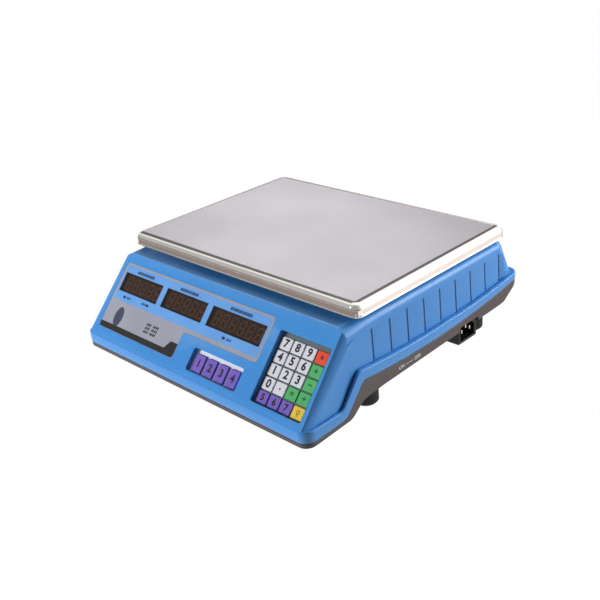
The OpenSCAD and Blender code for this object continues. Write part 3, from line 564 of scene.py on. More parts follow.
def ledgeRing(inset, drop):
    front = panelY(panelFoot["z"] - drop) + inset / sin(panelTilt)
    rear = backY(ledgeZ(backFoot["y"]) - drop) - inset
    middle = wallX(cover["midZ"])
    half = []
    for x, y in bodyPlan(middle - inset, front, rear, sideYs):
        z = ledgeZ(y) - drop
        half.append((x + wallX(z) - middle, y, z))
    return whole(half)


def deckFillet(edge, foot):
    # rings from the wall over the rounded edge to the deck
    count = len(edge)
    steps = cover["deckSteps"]
    rings = [[] for _ in range(steps + 1)]
    for i in range(count):
        e = Vector(edge[i])
        along = Vector(edge[(i + 1) % count]) - Vector(edge[i - 1])
        inward = Vector((-along.y, along.x, 0)).normalized()
        rise = e - Vector(foot[i])
        bend = atan2(rise.z, rise.dot(inward))
        r = cover["browRound"] + (cover["sideRound"] - cover["browRound"]) * abs(inward.x)
        reach = r * tan(bend / 2)
        start = e - reach * (inward * cos(bend) + Vector((0, 0, sin(bend))))
        for k in range(steps + 1):
            a = bend * (1 - k / steps)
            point = start + inward * r * (sin(bend) - sin(a))
            rings[k].append(tuple(point + Vector((0, 0, r * (cos(a) - cos(bend))))))
    return rings


def coverRings():
    foot = ledgeRing(0, 0)
    rings = deckFillet(deckRing(0, 0), foot)[::-1] + [foot]
    side = cover["skirtRound"]
    chin = cover["chinRound"]
    for a in quarter(cover["skirtSteps"]):
        rings.append(skirtRing(side * (1 - sin(a)), chin * (1 - sin(a)),
                               lambda y: ledgeZ(y) - side * (1 - cos(a))))
    wall = case["wall"]
    bevel, bevelHigh = cover["seamBevel"]
    rings.append(skirtRing(0, 0, lambda y: seamZ(y) + bevelHigh))
    rings.append(skirtRing(bevel, bevel, seamZ))
    rings.append(skirtRing(wall, wall, seamZ))
    rings.append(skirtRing(wall, wall, lambda y: ledgeZ(y) - wall))
    inner = wall + cover["innerCorner"]
    return rings + [ledgeRing(wall, wall), deckRing(wall, inner), deckRing(inner, wall)]


# Openings in the cover, most of them read from the solids that fill them
windows = {"start": -151.5, "small": 67.0, "large": 79.6, "gap": 8.0, "foot": 55.5, "high": 22.0, "cut": 4.5}
lips = {"turn": 80.0, "flare": 0.02}
pockets = {"lip": 0.9, "lipSteps": 5, "round": 2.2, "collar": 2.0, "deep": 5.0, "cut": 8.0}
grooves = {"first": -71.0, "pitch": 26.375, "count": 9, "half": 2.1, "flat": 1.6, "deep": 2.0, "shingle": 1.4,
           "last": 10.0, "top": 12.5, "foot": 0.4, "gap": 0.05, "skin": 0.02, "least": 0.3}
posts = {"dx": 210.0, "dy": 150.0, "hole": 26.0, "round": 1.0, "lipSteps": 4, "cut": 8.0, "past": 3.0,
         "steps": 48}
panLow, panHigh = nodeBox("weigh_pan")
panY = (panLow[1] + panHigh[1]) / 2
postPlaces = [(sx * posts["dx"] / 2, panY + sy * posts["dy"] / 2) for sx in (-1, 1) for sy in (-1, 1)]


def windowSpans(left):
    spans = []
    for wide in (windows["small"], windows["small"], windows["large"]):
        spans.append((left, left + wide))
        left += wide + windows["gap"]
    return spans


frontSpans = windowSpans(windows["start"])
windowsLong = frontSpans[-1][1] - frontSpans[0][0]
rearSpans = windowSpans(-windowsLong / 2)
backLength = (cover["deck"] - backFoot["z"]) / cos(backLean)
rearFoot = backLength / 2 - windows["high"] / 2


def openingOf(name, grow=0.0):
    low, high = nodeBox(name, panel)
    margin = pockets["collar"] - grow
    return low[0] + margin, low[1] + margin, high[0] - margin, high[1] - margin


def lipRound(r, steps, high):
    # an opening's rounded rim, as pairs of growth and height, and its way on past the face
    turns = [radians(lips["turn"] * k / steps) for k in range(steps + 1)]
    rim = [(r - r * cos(a), r * sin(a) - r) for a in turns]
    return rim + [(rim[-1][0] + lips["flare"], high)]


def pocketTool(name):
    rim = lipRound(pockets["lip"], pockets["lipSteps"], past)
    return slab(*openingOf(name), pockets["round"], [(0, -pockets["cut"])] + [(-out, z) for out, z in rim])


def collarOf(name):
    grow = pockets["collar"]
    return slab(*openingOf(name, grow), pockets["round"] + grow,
                [(0, -pockets["deep"]), (0, -case["wall"] / 2)])


def windowTools(spans, foot):
    return [box(a, foot, -windows["cut"], b, foot + windows["high"], past) for a, b in spans]


def postHoles():
    r = posts["hole"] / 2
    top = cover["deck"]
    rim = lipRound(posts["round"], posts["lipSteps"], posts["past"])
    hole = lathe([(r, top - posts["cut"])] + [(r + out, top + z) for out, z in rim], posts["steps"])
    return [shift(hole, x, y) for x, y in postPlaces]


def shingleTools():
    # each side panel leans in behind its groove and comes out again at the next one
    place = Matrix.Translation((cover["deckHalf"], 0, cover["deck"])) @ Matrix.Rotation(-draft, 4, "Y")
    half = grooves["half"]
    skin = grooves["skin"]
    flat = grooves["flat"]
    tools = []
    for i in range(grooves["count"]):
        y = grooves["first"] + i * grooves["pitch"]
        start = y - half
        reach = grooves["pitch"] if i < grooves["count"] - 1 else grooves["last"]
        end = y + reach - half - grooves["gap"]
        outline = [(skin, start), (past, start), (past, end), (skin, end), (-grooves["shingle"], y + half),
                   (-grooves["deep"], y + flat), (-grooves["deep"], y - flat)]
        rise = (ledgeZ(end) - ledgeZ(start)) / (end - start)
        foot = ledgeZ(start) + grooves["foot"] - cover["deck"]
        points, faces = loft([[(x, py, foot + rise * (py - start)) for x, py in outline],
                              [(x, py, -grooves["top"]) for x, py in outline]])
        shape = [tuple(place @ Vector(p)) for p in points], faces
        tools += [shape, mirrored(shape)]
    return tools


brow = {"front": 14.5, "back": 8.8, "ahead": 30.0, "reach": 34.0, "margin": 6.0, "turn": 88.0, "steps": 12}


def browTools():
    # the round of a side's upper edge runs on over the panel's upper corners
    out = cover["deckHalf"] + brow["margin"]
    top = cover["deck"] + brow["margin"]
    y = panelY(cover["deck"])
    turns = [radians(brow["turn"] * (1 - k / brow["steps"])) for k in range(brow["steps"] + 1)]
    rings = []
    front = brow["front"]
    for place, r in ((y - brow["ahead"], front), (y, front), (y + brow["reach"], brow["back"])):
        x = cover["deckHalf"] - r * tan(pi / 4 - draft / 2)
        z = cover["deck"] - r
        ring = [(x + r * cos(a), place, z + r * sin(a)) for a in turns]
        rings.append(ring + [(out, place, z), (out, place, top), (ring[0][0], place, top)])
    tool = loft(rings)
    return [tool, mirrored(tool)]


crease = {"deep": 0.9, "in": 0.35, "out": 0.5, "riseOut": 2.1, "ends": (-154.0, 150.0), "above": 0.3,
          "probe": 2.0, "band": (3.0, 0.15), "spare": 0.1}


def creaseTools():
    # the line where a side wall meets the skirt, wider on the rise
    probe = crease["probe"]
    rings = []
    for y in [crease["ends"][0]] + sideYs[1:] + [crease["ends"][1]]:
        z = ledgeZ(y)
        steep = min(max((ledgeZ(y + probe) - ledgeZ(y - probe)) / (2 * probe), 0), 1)
        inner = wallX(z) - crease["in"]
        outer = wallX(z) + crease["out"] + steep * (crease["riseOut"] - crease["out"])
        low = z - crease["deep"] * (1 + steep)
        high = z + crease["above"]
        rings.append([(inner, y, low), (outer, y, low), (outer, y, high), (inner, y, high)])
    tool = loft(rings)
    return [tool, mirrored(tool)]


def inCrease(point):
    # true in the bottom of a side groove or of the line over the skirt, where the cover takes a darker blue
    # as painted shade
    x, y, z = abs(point.x / mm), point.y / mm, point.z / mm
    spare = crease["spare"]
    depth = wallX(z) - x
    ledge = ledgeZ(y)
    if ledge - crease["band"][0] < z < ledge - crease["band"][1]:
        start, end = crease["ends"]
        return start < y < end and -crease["riseOut"] - spare < depth < crease["in"] + spare
    place = (y - grooves["first"]) / grooves["pitch"]
    near = abs(place - round(place)) * grooves["pitch"] < grooves["half"] + grooves["gap"]
    under = z < cover["deck"] - grooves["top"] + spare
    inside = grooves["least"] < depth < grooves["deep"] + spare
    return near and under and inside and 0 <= round(place) < grooves["count"]


overlay = {"left": -157.0, "right": 83.6, "lobeRight": -26.0, "foot": 10.5, "lobeTop": 40.5, "top": 88.5,
           "round": 4.0, "thick": 0.5, "drop": 0.1, "gap": 0.2, "rearHigh": 29.0, "rearBorder": 8.0}
overlayCorners = [(overlay[x], overlay[y]) for x, y in
                  (("left", "foot"), ("lobeRight", "foot"), ("lobeRight", "lobeTop"), ("right", "lobeTop"),
                   ("right", "top"), ("left", "top"))]
rearX = windowsLong / 2 + overlay["rearBorder"]
rearS = backLength / 2 - overlay["rearHigh"] / 2
rearTop = rearS + overlay["rearHigh"]
rearCorners = [(-rearX, rearS), (rearX, rearS), (rearX, rearTop), (-rearX, rearTop)]


def recess(corners):
    outline = softOutline(corners, overlay["round"], -overlay["gap"])
    return prism(outline, -overlay["thick"] - overlay["drop"], past)


coverPiece = piece("topCover", [loft(coverRings())], coverBlue)
mergeFlats(coverPiece)
carve(coverPiece, browTools())
pads = ("keypad_mat", "memory_pad")
carve(coverPiece, [collarOf(name) for name in pads], panel, "UNION")
openings = [(pocketTool(name), panel) for name in pads]
openings += [(recess(overlayCorners), panel), (recess(rearCorners), back)]
openings += [(hole, part) for hole in postHoles() + shingleTools()]
carve(coverPiece, openings)
carve(coverPiece, [(w, panel) for w in windowTools(frontSpans, windows["foot"])]
      + [(w, back) for w in windowTools(rearSpans, rearFoot)])
carve(coverPiece, creaseTools())
# faces in the bottoms of the grooves and of the skirt line take the darker blue: painted shade
coverPiece.data.materials.clear()
for finish in (coverBlue, creaseShadeBlue):
    coverPiece.data.materials.append(finish)
for face in coverPiece.data.polygons:
    face.material_index = 1 if inCrease(face.center) else 0
settle(coverPiece, "case", "cover_plastic", "top_cover")
print("cover:", len(coverPiece.data.polygons), "faces")

# Base
base = {"inset": 0.5, "toe": 1.3, "toeShare": 0.35, "toeSteps": 5, "chin": 6.8, "tailEnd": (171.5, 49.35),
        "foldTop": (-110.5, 9.6), "heel": (-93.0, 22.8), "bevel": (0.3, 0.4), "rimLeast": 0.6, "sink": 1.2,
        "bossRadius": 10.0, "bossLow": 16.1, "bossEdge": 0.8, "bossHigh": {"front": 14.0, "rear": 11.0},
        "studBore": 4.05, "studTop": 70.0}
baseLook = {"tint": (72, 64, 63), "shade": (82, 73, 72), "rubAndHighlight": (114, 106, 105), "rough": (0.42, 0.52),
            "grain": 1400, "cloud": 16, "bump": 0.35, "depth": 0.03}
baseGrey = moulded("baseGrey", baseLook)
screws = {"x": 168.8, "ys": (-81.0, 9.0, 118.0), "boss": 5.0, "bossDrop": 1.0, "head": 3.7, "hole": 1.7,
          "seat": 5.0, "reach": (-3.0, 90.0), "steps": 24}
screwXs = (screws["x"], -screws["x"])
batteryDoor = {"x": -86.0, "y": -45.0, "long": 109.0, "wide": 76.0, "round": 1.5, "lug": 12.0,
               "lugHalf": 7.0, "lugHigh": 11.0, "lugGap": 1.0}
switch = {"x": 150.5, "y": -24.0, "long": 21.0, "wide": 15.0, "lip": 1.0, "round": 0.8}
inlet = {"x": 171.5, "y": 77.0, "z": 22.5, "wide": 33.0, "high": 22.0, "deep": 36.0, "round": 2.0,
         "edge": 1.0, "cutEnd": 185.0}
cell = {"bolts": (-57.0, -39.0), "seat": (-65.0, -31.0), "half": 15.0, "top": 40.0, "roof": 6.0, "head": 6.0,
        "hole": 3.2, "reach": 60.0}
feet = {"front": (151.0, -65.5), "rear": (144.0, 123.0)}
fit = 0.2
floorCut = 4.0


def underSharp(y):
    if y > floorLine["backY"]:
        return slope(y, (floorLine["backY"], floorLine["backZ"]), base["tailEnd"])
    if y > floorLine["frontY"]:
        return floorZ(y)
    if y > base["heel"][0]:
        return slope(y, base["heel"], (floorLine["frontY"], floorLine["frontZ"]))
    if y > base["foldTop"][0]:
        return slope(y, base["foldTop"], base["heel"])
    return slope(y, (-case["halfDepth"], base["chin"]), base["foldTop"])


def underZ(y):
    return softened(underSharp, y)


def baseTop(y):
    return seamZ(y) - case["seamGap"]


def toeRing(turn):
    # a ring of the rounded edge between the side and the underside
    outer = skirtRing(base["inset"], base["inset"], baseTop)
    count = len(outer)
    ring = []
    for i, (x, y, z) in enumerate(outer):
        along = Vector(outer[(i + 1) % count]) - Vector(outer[i - 1])
        inward = Vector((-along.y, along.x, 0)).normalized()
        r = min(base["toe"], base["toeShare"] * (z - underZ(y)))
        point = Vector((x, y, underZ(y) + r - r * sin(turn))) + inward * (r - r * cos(turn))
        ring.append(tuple(point))
    return ring


def baseRings():
    rings = [toeRing(turn) for turn in reversed(quarter(base["toeSteps"]))]
    edge = base["inset"]
    inner = edge + case["wall"]
    bevel, bevelHigh = base["bevel"]
    rings.append(skirtRing(edge, edge, lambda y: baseTop(y) - bevelHigh))
    rings.append(skirtRing(edge + bevel, edge + bevel, baseTop))
    rings.append(skirtRing(inner, inner, baseTop))
    least = base["rimLeast"]
    rings.append(skirtRing(inner, inner, lambda y: min(underZ(y) + case["wall"], baseTop(y) - least)))
    return rings


def footPlaces():
    return [(side * feet[end][0], feet[end][1], end) for side in (1, -1) for end in ("front", "rear")]


def baseBosses():
    low = base["bossLow"]
    edge = base["bossEdge"]
    shapes = []
    for x, y, end in footPlaces():
        r = base["bossRadius"]
        high = floorZ(y) + base["bossHigh"][end]
        shapes.append(shift(lathe([(r - edge, low), (r, low + edge), (r, high)]), x, y))
    for y in screws["ys"]:
        r = screws["boss"]
        post = lathe([(r, underZ(y) + base["sink"]), (r, baseTop(y) - screws["bossDrop"])], screws["steps"])
        shapes += [shift(post, x, y) for x in screwXs]
    x0, x1 = cell["seat"]
    half = cell["half"]
    return shapes + [box(x0, panY - half, floorZ(panY) + base["sink"], x1, panY + half, cell["top"])]


def stepBore(bolt, low, seat, high):
    # a wide bore for a head and a narrow one for its shank
    profile = [(bolt["head"], low), (bolt["head"], seat), (bolt["hole"], seat), (bolt["hole"], high)]
    return lathe(profile, screws["steps"])


def floorHole(hole, half, wide):
    shape = slab(-half, -wide, half, wide, hole["round"], [(0, -floorCut), (0, floorCut)])
    return shape, floorAt(hole["x"], hole["y"])


def baseTools():
    r = base["studBore"]
    bore = lathe([(r, 0), (r, base["studTop"])])
    tools = [(shift(bore, x, y), part) for x, y, _ in footPlaces()]
    low, high = screws["reach"]
    for y in screws["ys"]:
        bore = stepBore(screws, low, seamSharp(y) - screws["seat"], high)
        tools += [(shift(bore, x, y), part) for x in screwXs]
    bore = stepBore(cell, 0, cell["top"] - cell["roof"], cell["reach"])
    tools += [(shift(bore, x, panY), part) for x in cell["bolts"]]
    tools.append(floorHole(batteryDoor, batteryDoor["long"] / 2 + fit, batteryDoor["wide"] / 2 + fit))
    lip = switch["lip"] - fit
    tools.append(floorHole(switch, switch["wide"] / 2 - lip, switch["long"] / 2 - lip))
    half = inlet["wide"] / 2 + fit
    x, y = inlet["x"] - inlet["deep"] - fit, inlet["y"]
    top = inlet["z"] + inlet["high"] / 2 + fit
    return tools + [(box(x, y - half, 0, inlet["cutEnd"], y + half, top), part)]


basePiece = piece("baseTray", [loft(baseRings(), strips=True)], baseGrey)
mergeFlats(basePiece)
half = batteryDoor["lugHalf"]
doorEdge = batteryDoor["wide"] / 2
lug = box(-half, doorEdge + batteryDoor["lugGap"], base["sink"], half, doorEdge + batteryDoor["lug"],
          batteryDoor["lugHigh"])
bosses = [(boss, part) for boss in baseBosses()] + [(lug, floorAt(batteryDoor["x"], batteryDoor["y"]))]
carve(basePiece, bosses, how="UNION")
carve(basePiece, baseTools())
settle(basePiece, "case", "base_plastic", "base_tray")
print("base:", len(basePiece.data.polygons), "faces")

# Pan: a pressed tray, upside down
pan = {"round": 11.0, "leastRound": 1.2, "cornerSteps": 36, "sheet": 1.2, "pucker": 0.5, "puckers": 5,
       "puckerHigh": 5.0, "ringRadius": 10.6, "ringWall": 1.4, "ringHigh": 5.5, "ringEdge": 0.3,
       "ringSteps": 40, "angle": 50, "flat": 0.99, "topBand": 2.0, "topSkin": 0.02, "inner": 0.3,
       "innerLow": 0.5,
       "hem": ((0.55, 0.0), (0.12, 0.3), (0.0, 1.0), (0.12, 1.6), (0.5, 2.0), (0.55, 2.4)),
       "shoulder": ((0.7, 7.4), (0.78, 6.4), (1.2, 4.9), (2.2, 3.2), (3.2, 1.95), (4.2, 1.2), (7.2, 0.46),
                    (8.8, 0.15), (9.8, 0.0))}
panTopLook = {"tint": (226, 220, 226), "shade": (219, 213, 219), "rough": (0.34, 0.4), "haze": 0.05,
              "across": 900.0, "along": 5.0, "bump": 0.06, "depth": 0.004}
panRimLook = {"tint": (250, 246, 242), "shade": (240, 235, 230), "rough": (0.08, 0.12), "haze": 0.04,
              "across": 500.0, "along": 500.0, "bump": 0.03, "depth": 0.004}
panTop = metal("panTop", panTopLook)
panRim = metal("panRim", panRimLook)


def panLevels():
    # outside from the hem to the top
    levels = [(inset, panLow[2] + rise) for inset, rise in pan["hem"]]
    return levels + [(inset, panHigh[2] - drop) for inset, drop in pan["shoulder"]]


def panRing(inset, z, pucker):
    x = panHigh[0] - inset
    y0 = panLow[1] + inset
    y1 = panHigh[1] - inset
    r = max(pan["round"] - inset, pan["leastRound"])
    steps = pan["cornerSteps"]
    ring = []
    for corner, (px, py) in enumerate(((1, 0), (1, 1), (0, 1), (0, 0))):
        cx = (x - r) if px else (r - x)
        cy = (y1 - r) if py else (y0 + r)
        for k, a in enumerate(quarter(steps, corner * 90 - 90)):
            fade = sin(pi * k / steps) ** 2
            wave = r - pucker * fade * (0.5 - 0.5 * cos(2 * pi * pan["puckers"] * k / steps))
            ring.append((cx + wave * cos(a), cy + wave * sin(a), z))
    return ring


def panRings():
    rings = []
    rimInset, rimDrop = pan["shoulder"][0]
    for inset, z in panLevels():
        share = min(max((panHigh[2] - rimDrop - z) / pan["puckerHigh"], 0), 1)
        rings.append(panRing(inset, z, pan["pucker"] * share))
    sheet = pan["sheet"]
    rings.append(panRing(pan["shoulder"][-1][0] + pan["inner"], panHigh[2] - sheet, 0))
    rings.append(panRing(rimInset + sheet, panHigh[2] - rimDrop, 0))
    rings.append(panRing(sheet + pan["innerLow"], panLow[2] + pan["inner"], 0))
    return rings


def panMesh():
    # the sides run on from the outside to the inside, and the top is closed over and under
    rings = panRings()
    count = len(rings[0])
    top = len(panLevels()) - 1
    points, faces = tube(rings)
    sides = [f for f in faces if {i // count for i in f} != {top, top + 1}]
    over, under = (tuple(range(k * count, (k + 1) * count)) for k in (top, top + 1))
    return points, sides + [over, under[::-1]]


def panLocators():
    top = panHigh[2] - pan["sheet"] + pan["inner"]
    low = panHigh[2] - pan["sheet"] - pan["ringHigh"]
    r = pan["ringRadius"]
    wide = r + pan["ringWall"]
    edge = pan["ringEdge"]
    section = [(r, top), (r, low + edge), (r + edge, low)]
    section += [(wide - edge, low), (wide, low + edge), (wide, top)]
    turns = circle(pan["ringSteps"])
    ring = tube([[(radius * cos(a), radius * sin(a), z) for a in turns] for radius, z in section])
    return [shift(ring, x, y) for x, y in postPlaces]


panPiece = piece("weighPan", [panMesh()] + panLocators(), [panRim] + [panTop] * 4, angle=pan["angle"])
for face in panPiece.data.polygons:
    if abs(face.normal.z) > pan["flat"] and face.center.z > (panHigh[2] - pan["topBand"]) * mm:
        face.material_index = 1
for edge in panPiece.data.edges:
    # the flat of the top keeps its own normals
    if all(panPiece.data.vertices[i].co.z > (panHigh[2] - pan["topSkin"]) * mm for i in edge.vertices):
        edge.use_edge_sharp = True
settle(panPiece, "pan", "pan_stainless", "weigh_pan")
print("pan:", len(panPiece.data.polygons), "faces")

# Display films with their prints
filmLook = {"rough": (0.3, 0.38), "grain": 2500, "cloud": 30, "bump": 0.08, "depth": 0.01,
            "fixed": {"Coat Weight": 0.1, "Coat Roughness": 0.2}}
inks = {"silver": ((148, 150, 164), (156, 158, 172)), "sky": ((98, 154, 220), (106, 162, 226)),
        "dark": ((26, 21, 22), (34, 29, 30)), "navy": ((20, 34, 76), (26, 40, 84)),
        "badge": ((48, 52, 72), (66, 70, 92))}
films = {name: moulded("film" + name.title(), {"tint": a, "shade": b, **filmLook})
         for name, (a, b) in inks.items()}
prints = {"low": -0.12, "high": -0.06, "lift": 0.03, "field": (-153.5, 45.0, 80.6, 85.9), "corner": 1.5,
          "edge": 0.3, "edgeSteps": 6, "stripeTop": 17.3, "kickTop": 26.5, "kick": (-44.0, -37.5),
          "badge": (-132.0, 27.5, 6.8, 11.5), "barGap": 0.8, "barSlant": 0.25,
          "rearMargins": (3.0, 2.5), "rearMark": (1.4, 8.0, 0.5)}
captions = {"spans": ((-133, -103), (-58, -28), (22, 55)), "foot": 79.5, "high": 3.4,
            "bars": (2.6, 2.0, 3.0, 2.3)}
lampSigns = {"places": ((-137.0, 50.3, 4.0), (-96.0, 50.7, -10.0), (30.0, 50.5, 4.5)), "dot": (2.5, 1.6),
             "dotSteps": 20, "long": 6.5, "foot": -1.3, "high": 2.6, "bars": (1.7, 1.3)}
table = {"places": ((-83.5, 31.3), (-84.0, 27.1), (-84.5, 22.9)), "high": 2.8,
         "rows": ((0.0, 8.5, (1.9, 1.5, 2.2)), (11.0, 21.0, (1.6, 2.0, 1.5)))}


def ellipse(cx, cy, ax, ay, steps=40):
    return [(cx + ax * cos(a), cy + ay * sin(a)) for a in circle(steps)]


def dashRow(ink, start, end, foot, high, widths):
    # a row of short slanted bars
    lean = prints["barSlant"] * high
    result = []
    x = start
    while x + widths[len(result) % len(widths)] <= end:
        x1 = x + widths[len(result) % len(widths)]
        result.append(([(x, foot), (x1, foot), (x1 + lean, foot + high), (x + lean, foot + high)], ink))
        x = x1 + prints["barGap"]
    return result


def stripeOutline():
    edge = prints["edge"]
    left = overlay["left"] + edge
    right = overlay["lobeRight"] - edge
    foot = overlay["foot"] + edge
    r = overlay["round"] - edge
    cut = prints["corner"]
    kickLow, kickHigh = prints["kick"]
    corner = arc(right - r, foot + r, r, r, -90, prints["edgeSteps"])
    rise = [(right, prints["kickTop"]), (kickHigh, prints["kickTop"]), (kickLow, prints["stripeTop"])]
    return [(left + cut, foot)] + corner + rise + [(left, prints["stripeTop"]), (left, foot + cut)]


def frontPatches():
    patches = [(roundBox(*prints["field"], prints["corner"]), "sky"), (stripeOutline(), "dark"),
               (ellipse(*prints["badge"]), "badge")]
    for start, end in captions["spans"]:
        patches += dashRow("navy", start, end, captions["foot"], captions["high"], captions["bars"])
    for x, y, side in lampSigns["places"]:
        patches.append((ellipse(x, y, *lampSigns["dot"], lampSigns["dotSteps"]), "navy"))
        patches += dashRow("navy", x + side, x + side + lampSigns["long"], y + lampSigns["foot"],
                           lampSigns["high"], lampSigns["bars"])
    for x, y in table["places"]:
        for start, end, bars in table["rows"]:
            patches += dashRow("dark", x + start, x + end, y, table["high"], bars)
    return patches


def filmPiece(name, corners, spans, foot, place):
    top = -overlay["drop"]
    sheet = prism(softOutline(corners, overlay["round"]), top - overlay["thick"], top)
    return carve(piece(name, [sheet], films["silver"], place), windowTools(spans, foot), place)


def printPieces(name, patches, spans, foot, place):
    # the marks lie a little higher than the coloured field
    low, high = prints["low"], prints["high"]
    field = [outline for outline, ink in patches if ink == "sky"]
    ground = piece(name + "Field", [prism(outline, low, high) for outline in field], films["sky"], place)
    carve(ground, windowTools(spans, foot), place)
    rest = [patch for patch in patches if patch[1] != "sky"]
    marks = piece(name + "Marks", [prism(outline, low, high + prints["lift"]) for outline, _ in rest],
                  [films[ink] for _, ink in rest], place)
    return ground, marks


def rearPatches():
    aside, edge = prints["rearMargins"]
    rise, wide, high = prints["rearMark"]
    x = windowsLong / 2 + aside
    field = roundBox(-x, rearS + edge, x, rearTop - edge, prints["corner"])
    return [(field, "sky"), (ellipse(0, rearS + rise, wide, high), "navy")]


filterLook = {"tint": (66, 53, 48), "shade": (71, 58, 52), "rough": (0.08, 0.12), "grain": 2200, "cloud": 20,
              "bump": 0.01, "depth": 0.01, "fixed": {"Alpha": 0.34, "Specular IOR Level": 0.15}}
smoke = moulded("smokeFilter", filterLook)
# the unlit digit segments glow faintly, painted light, so that they show behind the smoke filter
unlitSegmentGlowLook = {"tint": (206, 122, 86), "shade": (216, 134, 96), "rough": (0.4, 0.5), "bump": 0.1,
               "fixed": {"Emission Color": tint(226, 150, 84), "Emission Strength": 0.2}}
unlitSegmentGlow = moulded("unlitSegmentGlow", unlitSegmentGlowLook)
filters = {"low": -2.52, "round": 0.4, "edge": 0.25, "edgeSteps": 2, "flange": 2.0, "flangeRound": 1.0,
           "flangeLow": -3.7, "flangeHigh": -2.55, "steps": 3}
digits = {"pitch": 12.6, "start": 1.4, "high": 14.5, "wide": 7.4, "bar": 1.5, "slant": 0.1, "gap": 0.25,
          "low": -4.02, "top": -3.92, "dot": 0.8, "dotAway": 1.7, "dotSteps": 12, "counts": (5, 5, 6)}


def filterSlabs(spans, foot):
    top = foot + windows["high"]
    out = filters["flange"]
    steps = filters["steps"]
    face = crown(filters["low"], -overlay["drop"], filters["edge"], filters["edgeSteps"])
    flange = [(0, filters["flangeLow"]), (0, filters["flangeHigh"])]
    shapes = []
    for a, b in spans:
        shapes.append(slab(a + fit, foot + fit, b - fit, top - fit, filters["round"], face, steps))
        shapes.append(slab(a - out, foot - out, b + out, top + out, filters["flangeRound"], flange, steps))
    return shapes


def segmentBar(x0, y0, x1, y1):
    # one bar of a digit, with pointed ends
    half = digits["bar"] / 2
    if abs(y1 - y0) < abs(x1 - x0):
        points = [(x0, y0), (x0 + half, y0 - half), (x1 - half, y0 - half), (x1, y0), (x1 - half, y0 + half),
                  (x0 + half, y0 + half)]
    else:
        points = [(x0, y0), (x0 + half, y0 + half), (x0 + half, y1 - half), (x0, y1), (x0 - half, y1 - half),
                  (x0 - half, y0 + half)]
    return [(x + digits["slant"] * y, y) for x, y in points]


def digitShapes(spans, foot):
    wide = digits["wide"] / 2
    tall = digits["high"] / 2
    gap = digits["gap"]
    bars = [(-wide + gap, level, wide - gap, level) for level in (-tall, 0, tall)]
    bars += [(side, start + gap, side, start + tall - gap) for side in (-wide, wide) for start in (-tall, 0)]
    dot = ellipse(wide + digits["dotAway"], -tall, digits["dot"], digits["dot"], digits["dotSteps"])
    outlines = [segmentBar(*bar) for bar in bars] + [dot]
    cy = foot + windows["high"] / 2
    shapes = []
    for (a, _), count in zip(spans, digits["counts"]):
        for k in range(count):
            cx = a + digits["start"] + digits["pitch"] * (k + 0.5)
            for outline in outlines:
                shapes.append(prism([(x + cx, y + cy) for x, y in outline], digits["low"], digits["top"]))
    return shapes


sides = {"front": (frontSpans, windows["foot"], panel), "rear": (rearSpans, rearFoot, back)}
sheets = {"front": (overlayCorners, frontPatches()), "rear": (rearCorners, rearPatches())}
for end, where in sides.items():
    settle(filmPiece(end + "Overlay", sheets[end][0], *where), "case", "overlay_film", end + "_overlay")
for end, where in sides.items():
    for obj in printPieces(end + "Print", sheets[end][1], *where):
        settle(obj, "case", "overlay_film")
for end, (spans, foot, place) in sides.items():
    glass = piece(end + "Filters", filterSlabs(spans, foot), smoke, place)
    settle(glass, "case", "smoke_filter", end + "_filters")
    settle(piece(end + "Segments", digitShapes(spans, foot), unlitSegmentGlow, place), "case", "led_module")
print("displays: films, prints, filters and digits")

# Keys
keyShape = {"flange": 0.5, "flangeHigh": 1.0, "round": 1.2, "edge": 0.7, "steps": 5}
keySign = {"lift": 0.03, "size": 8.2, "smallSize": 6.6, "bold": 0.42, "thin": 0.16, "dot": 1.0,
           "dotSteps": 20}
bulb = {"y": 1.0, "radii": (2.0, 1.35), "steps": 28, "barHalf": 0.9, "barHigh": 0.5, "barYs": (-2.0, -2.9)}
keyRough = {"rough": (0.38, 0.46), "grain": 1600, "cloud": 60, "bump": 0.15, "depth": 0.02}
keyTints = {"white": ((212, 212, 222), (220, 220, 228)), "red": ((226, 74, 48), (232, 84, 56)),
            "green": ((76, 168, 98), (84, 176, 106)), "violet": ((112, 90, 182), (120, 98, 190)),
            "yellow": ((224, 190, 66), (230, 198, 76))}
keyFinish = {name: moulded("key" + name.title(), {"tint": a, "shade": b, **keyRough})
             for name, (a, b) in keyTints.items()}
inkLook = {"tint": (34, 32, 36), "shade": (44, 42, 46), "rough": (0.45, 0.55), "bump": 0.1}
keyInk = moulded("keyInk", inkLook)
legends = {"key_%d" % n: ("white", str(n)) for n in range(10)}
legends.update({"key_point": ("white", "."), "key_clear": ("red", "×"), "key_add": ("green", "+"),
                "key_tare": ("green", "−"), "key_recall": ("green", "="), "key_zero": ("green", "÷"),
                "key_store": ("violet", "5"), "key_change": ("violet", "6"), "key_hold": ("violet", "7"),
                "key_light": ("yellow", "lamp")})
legends.update({"key_memory_%d" % n: ("violet", str(n)) for n in range(1, 5)})


def keyCap(low, high):
    out = keyShape["flange"]
    flangeTop = low[2] + keyShape["flangeHigh"]
    levels = [(-out, low[2]), (-out, flangeTop)] + crown(flangeTop, high[2], keyShape["edge"])
    return slab(low[0] + out, low[1] + out, high[0] - out, high[1] - out, keyShape["round"], levels,
                keyShape["steps"])


def lampMark(lift):
    # a bulb over two short bars
    outer, inner = (ellipse(0, bulb["y"], r, r, bulb["steps"]) for r in bulb["radii"])
    levels = ((outer, -lift), (outer, lift), (inner, lift), (inner, -lift))
    ring = tube([[(x, y, z) for x, y in outline] for outline, z in levels])
    wide = bulb["barHalf"]
    return [ring] + [box(-wide, y, -lift, wide, y + bulb["barHigh"], lift) for y in bulb["barYs"]]


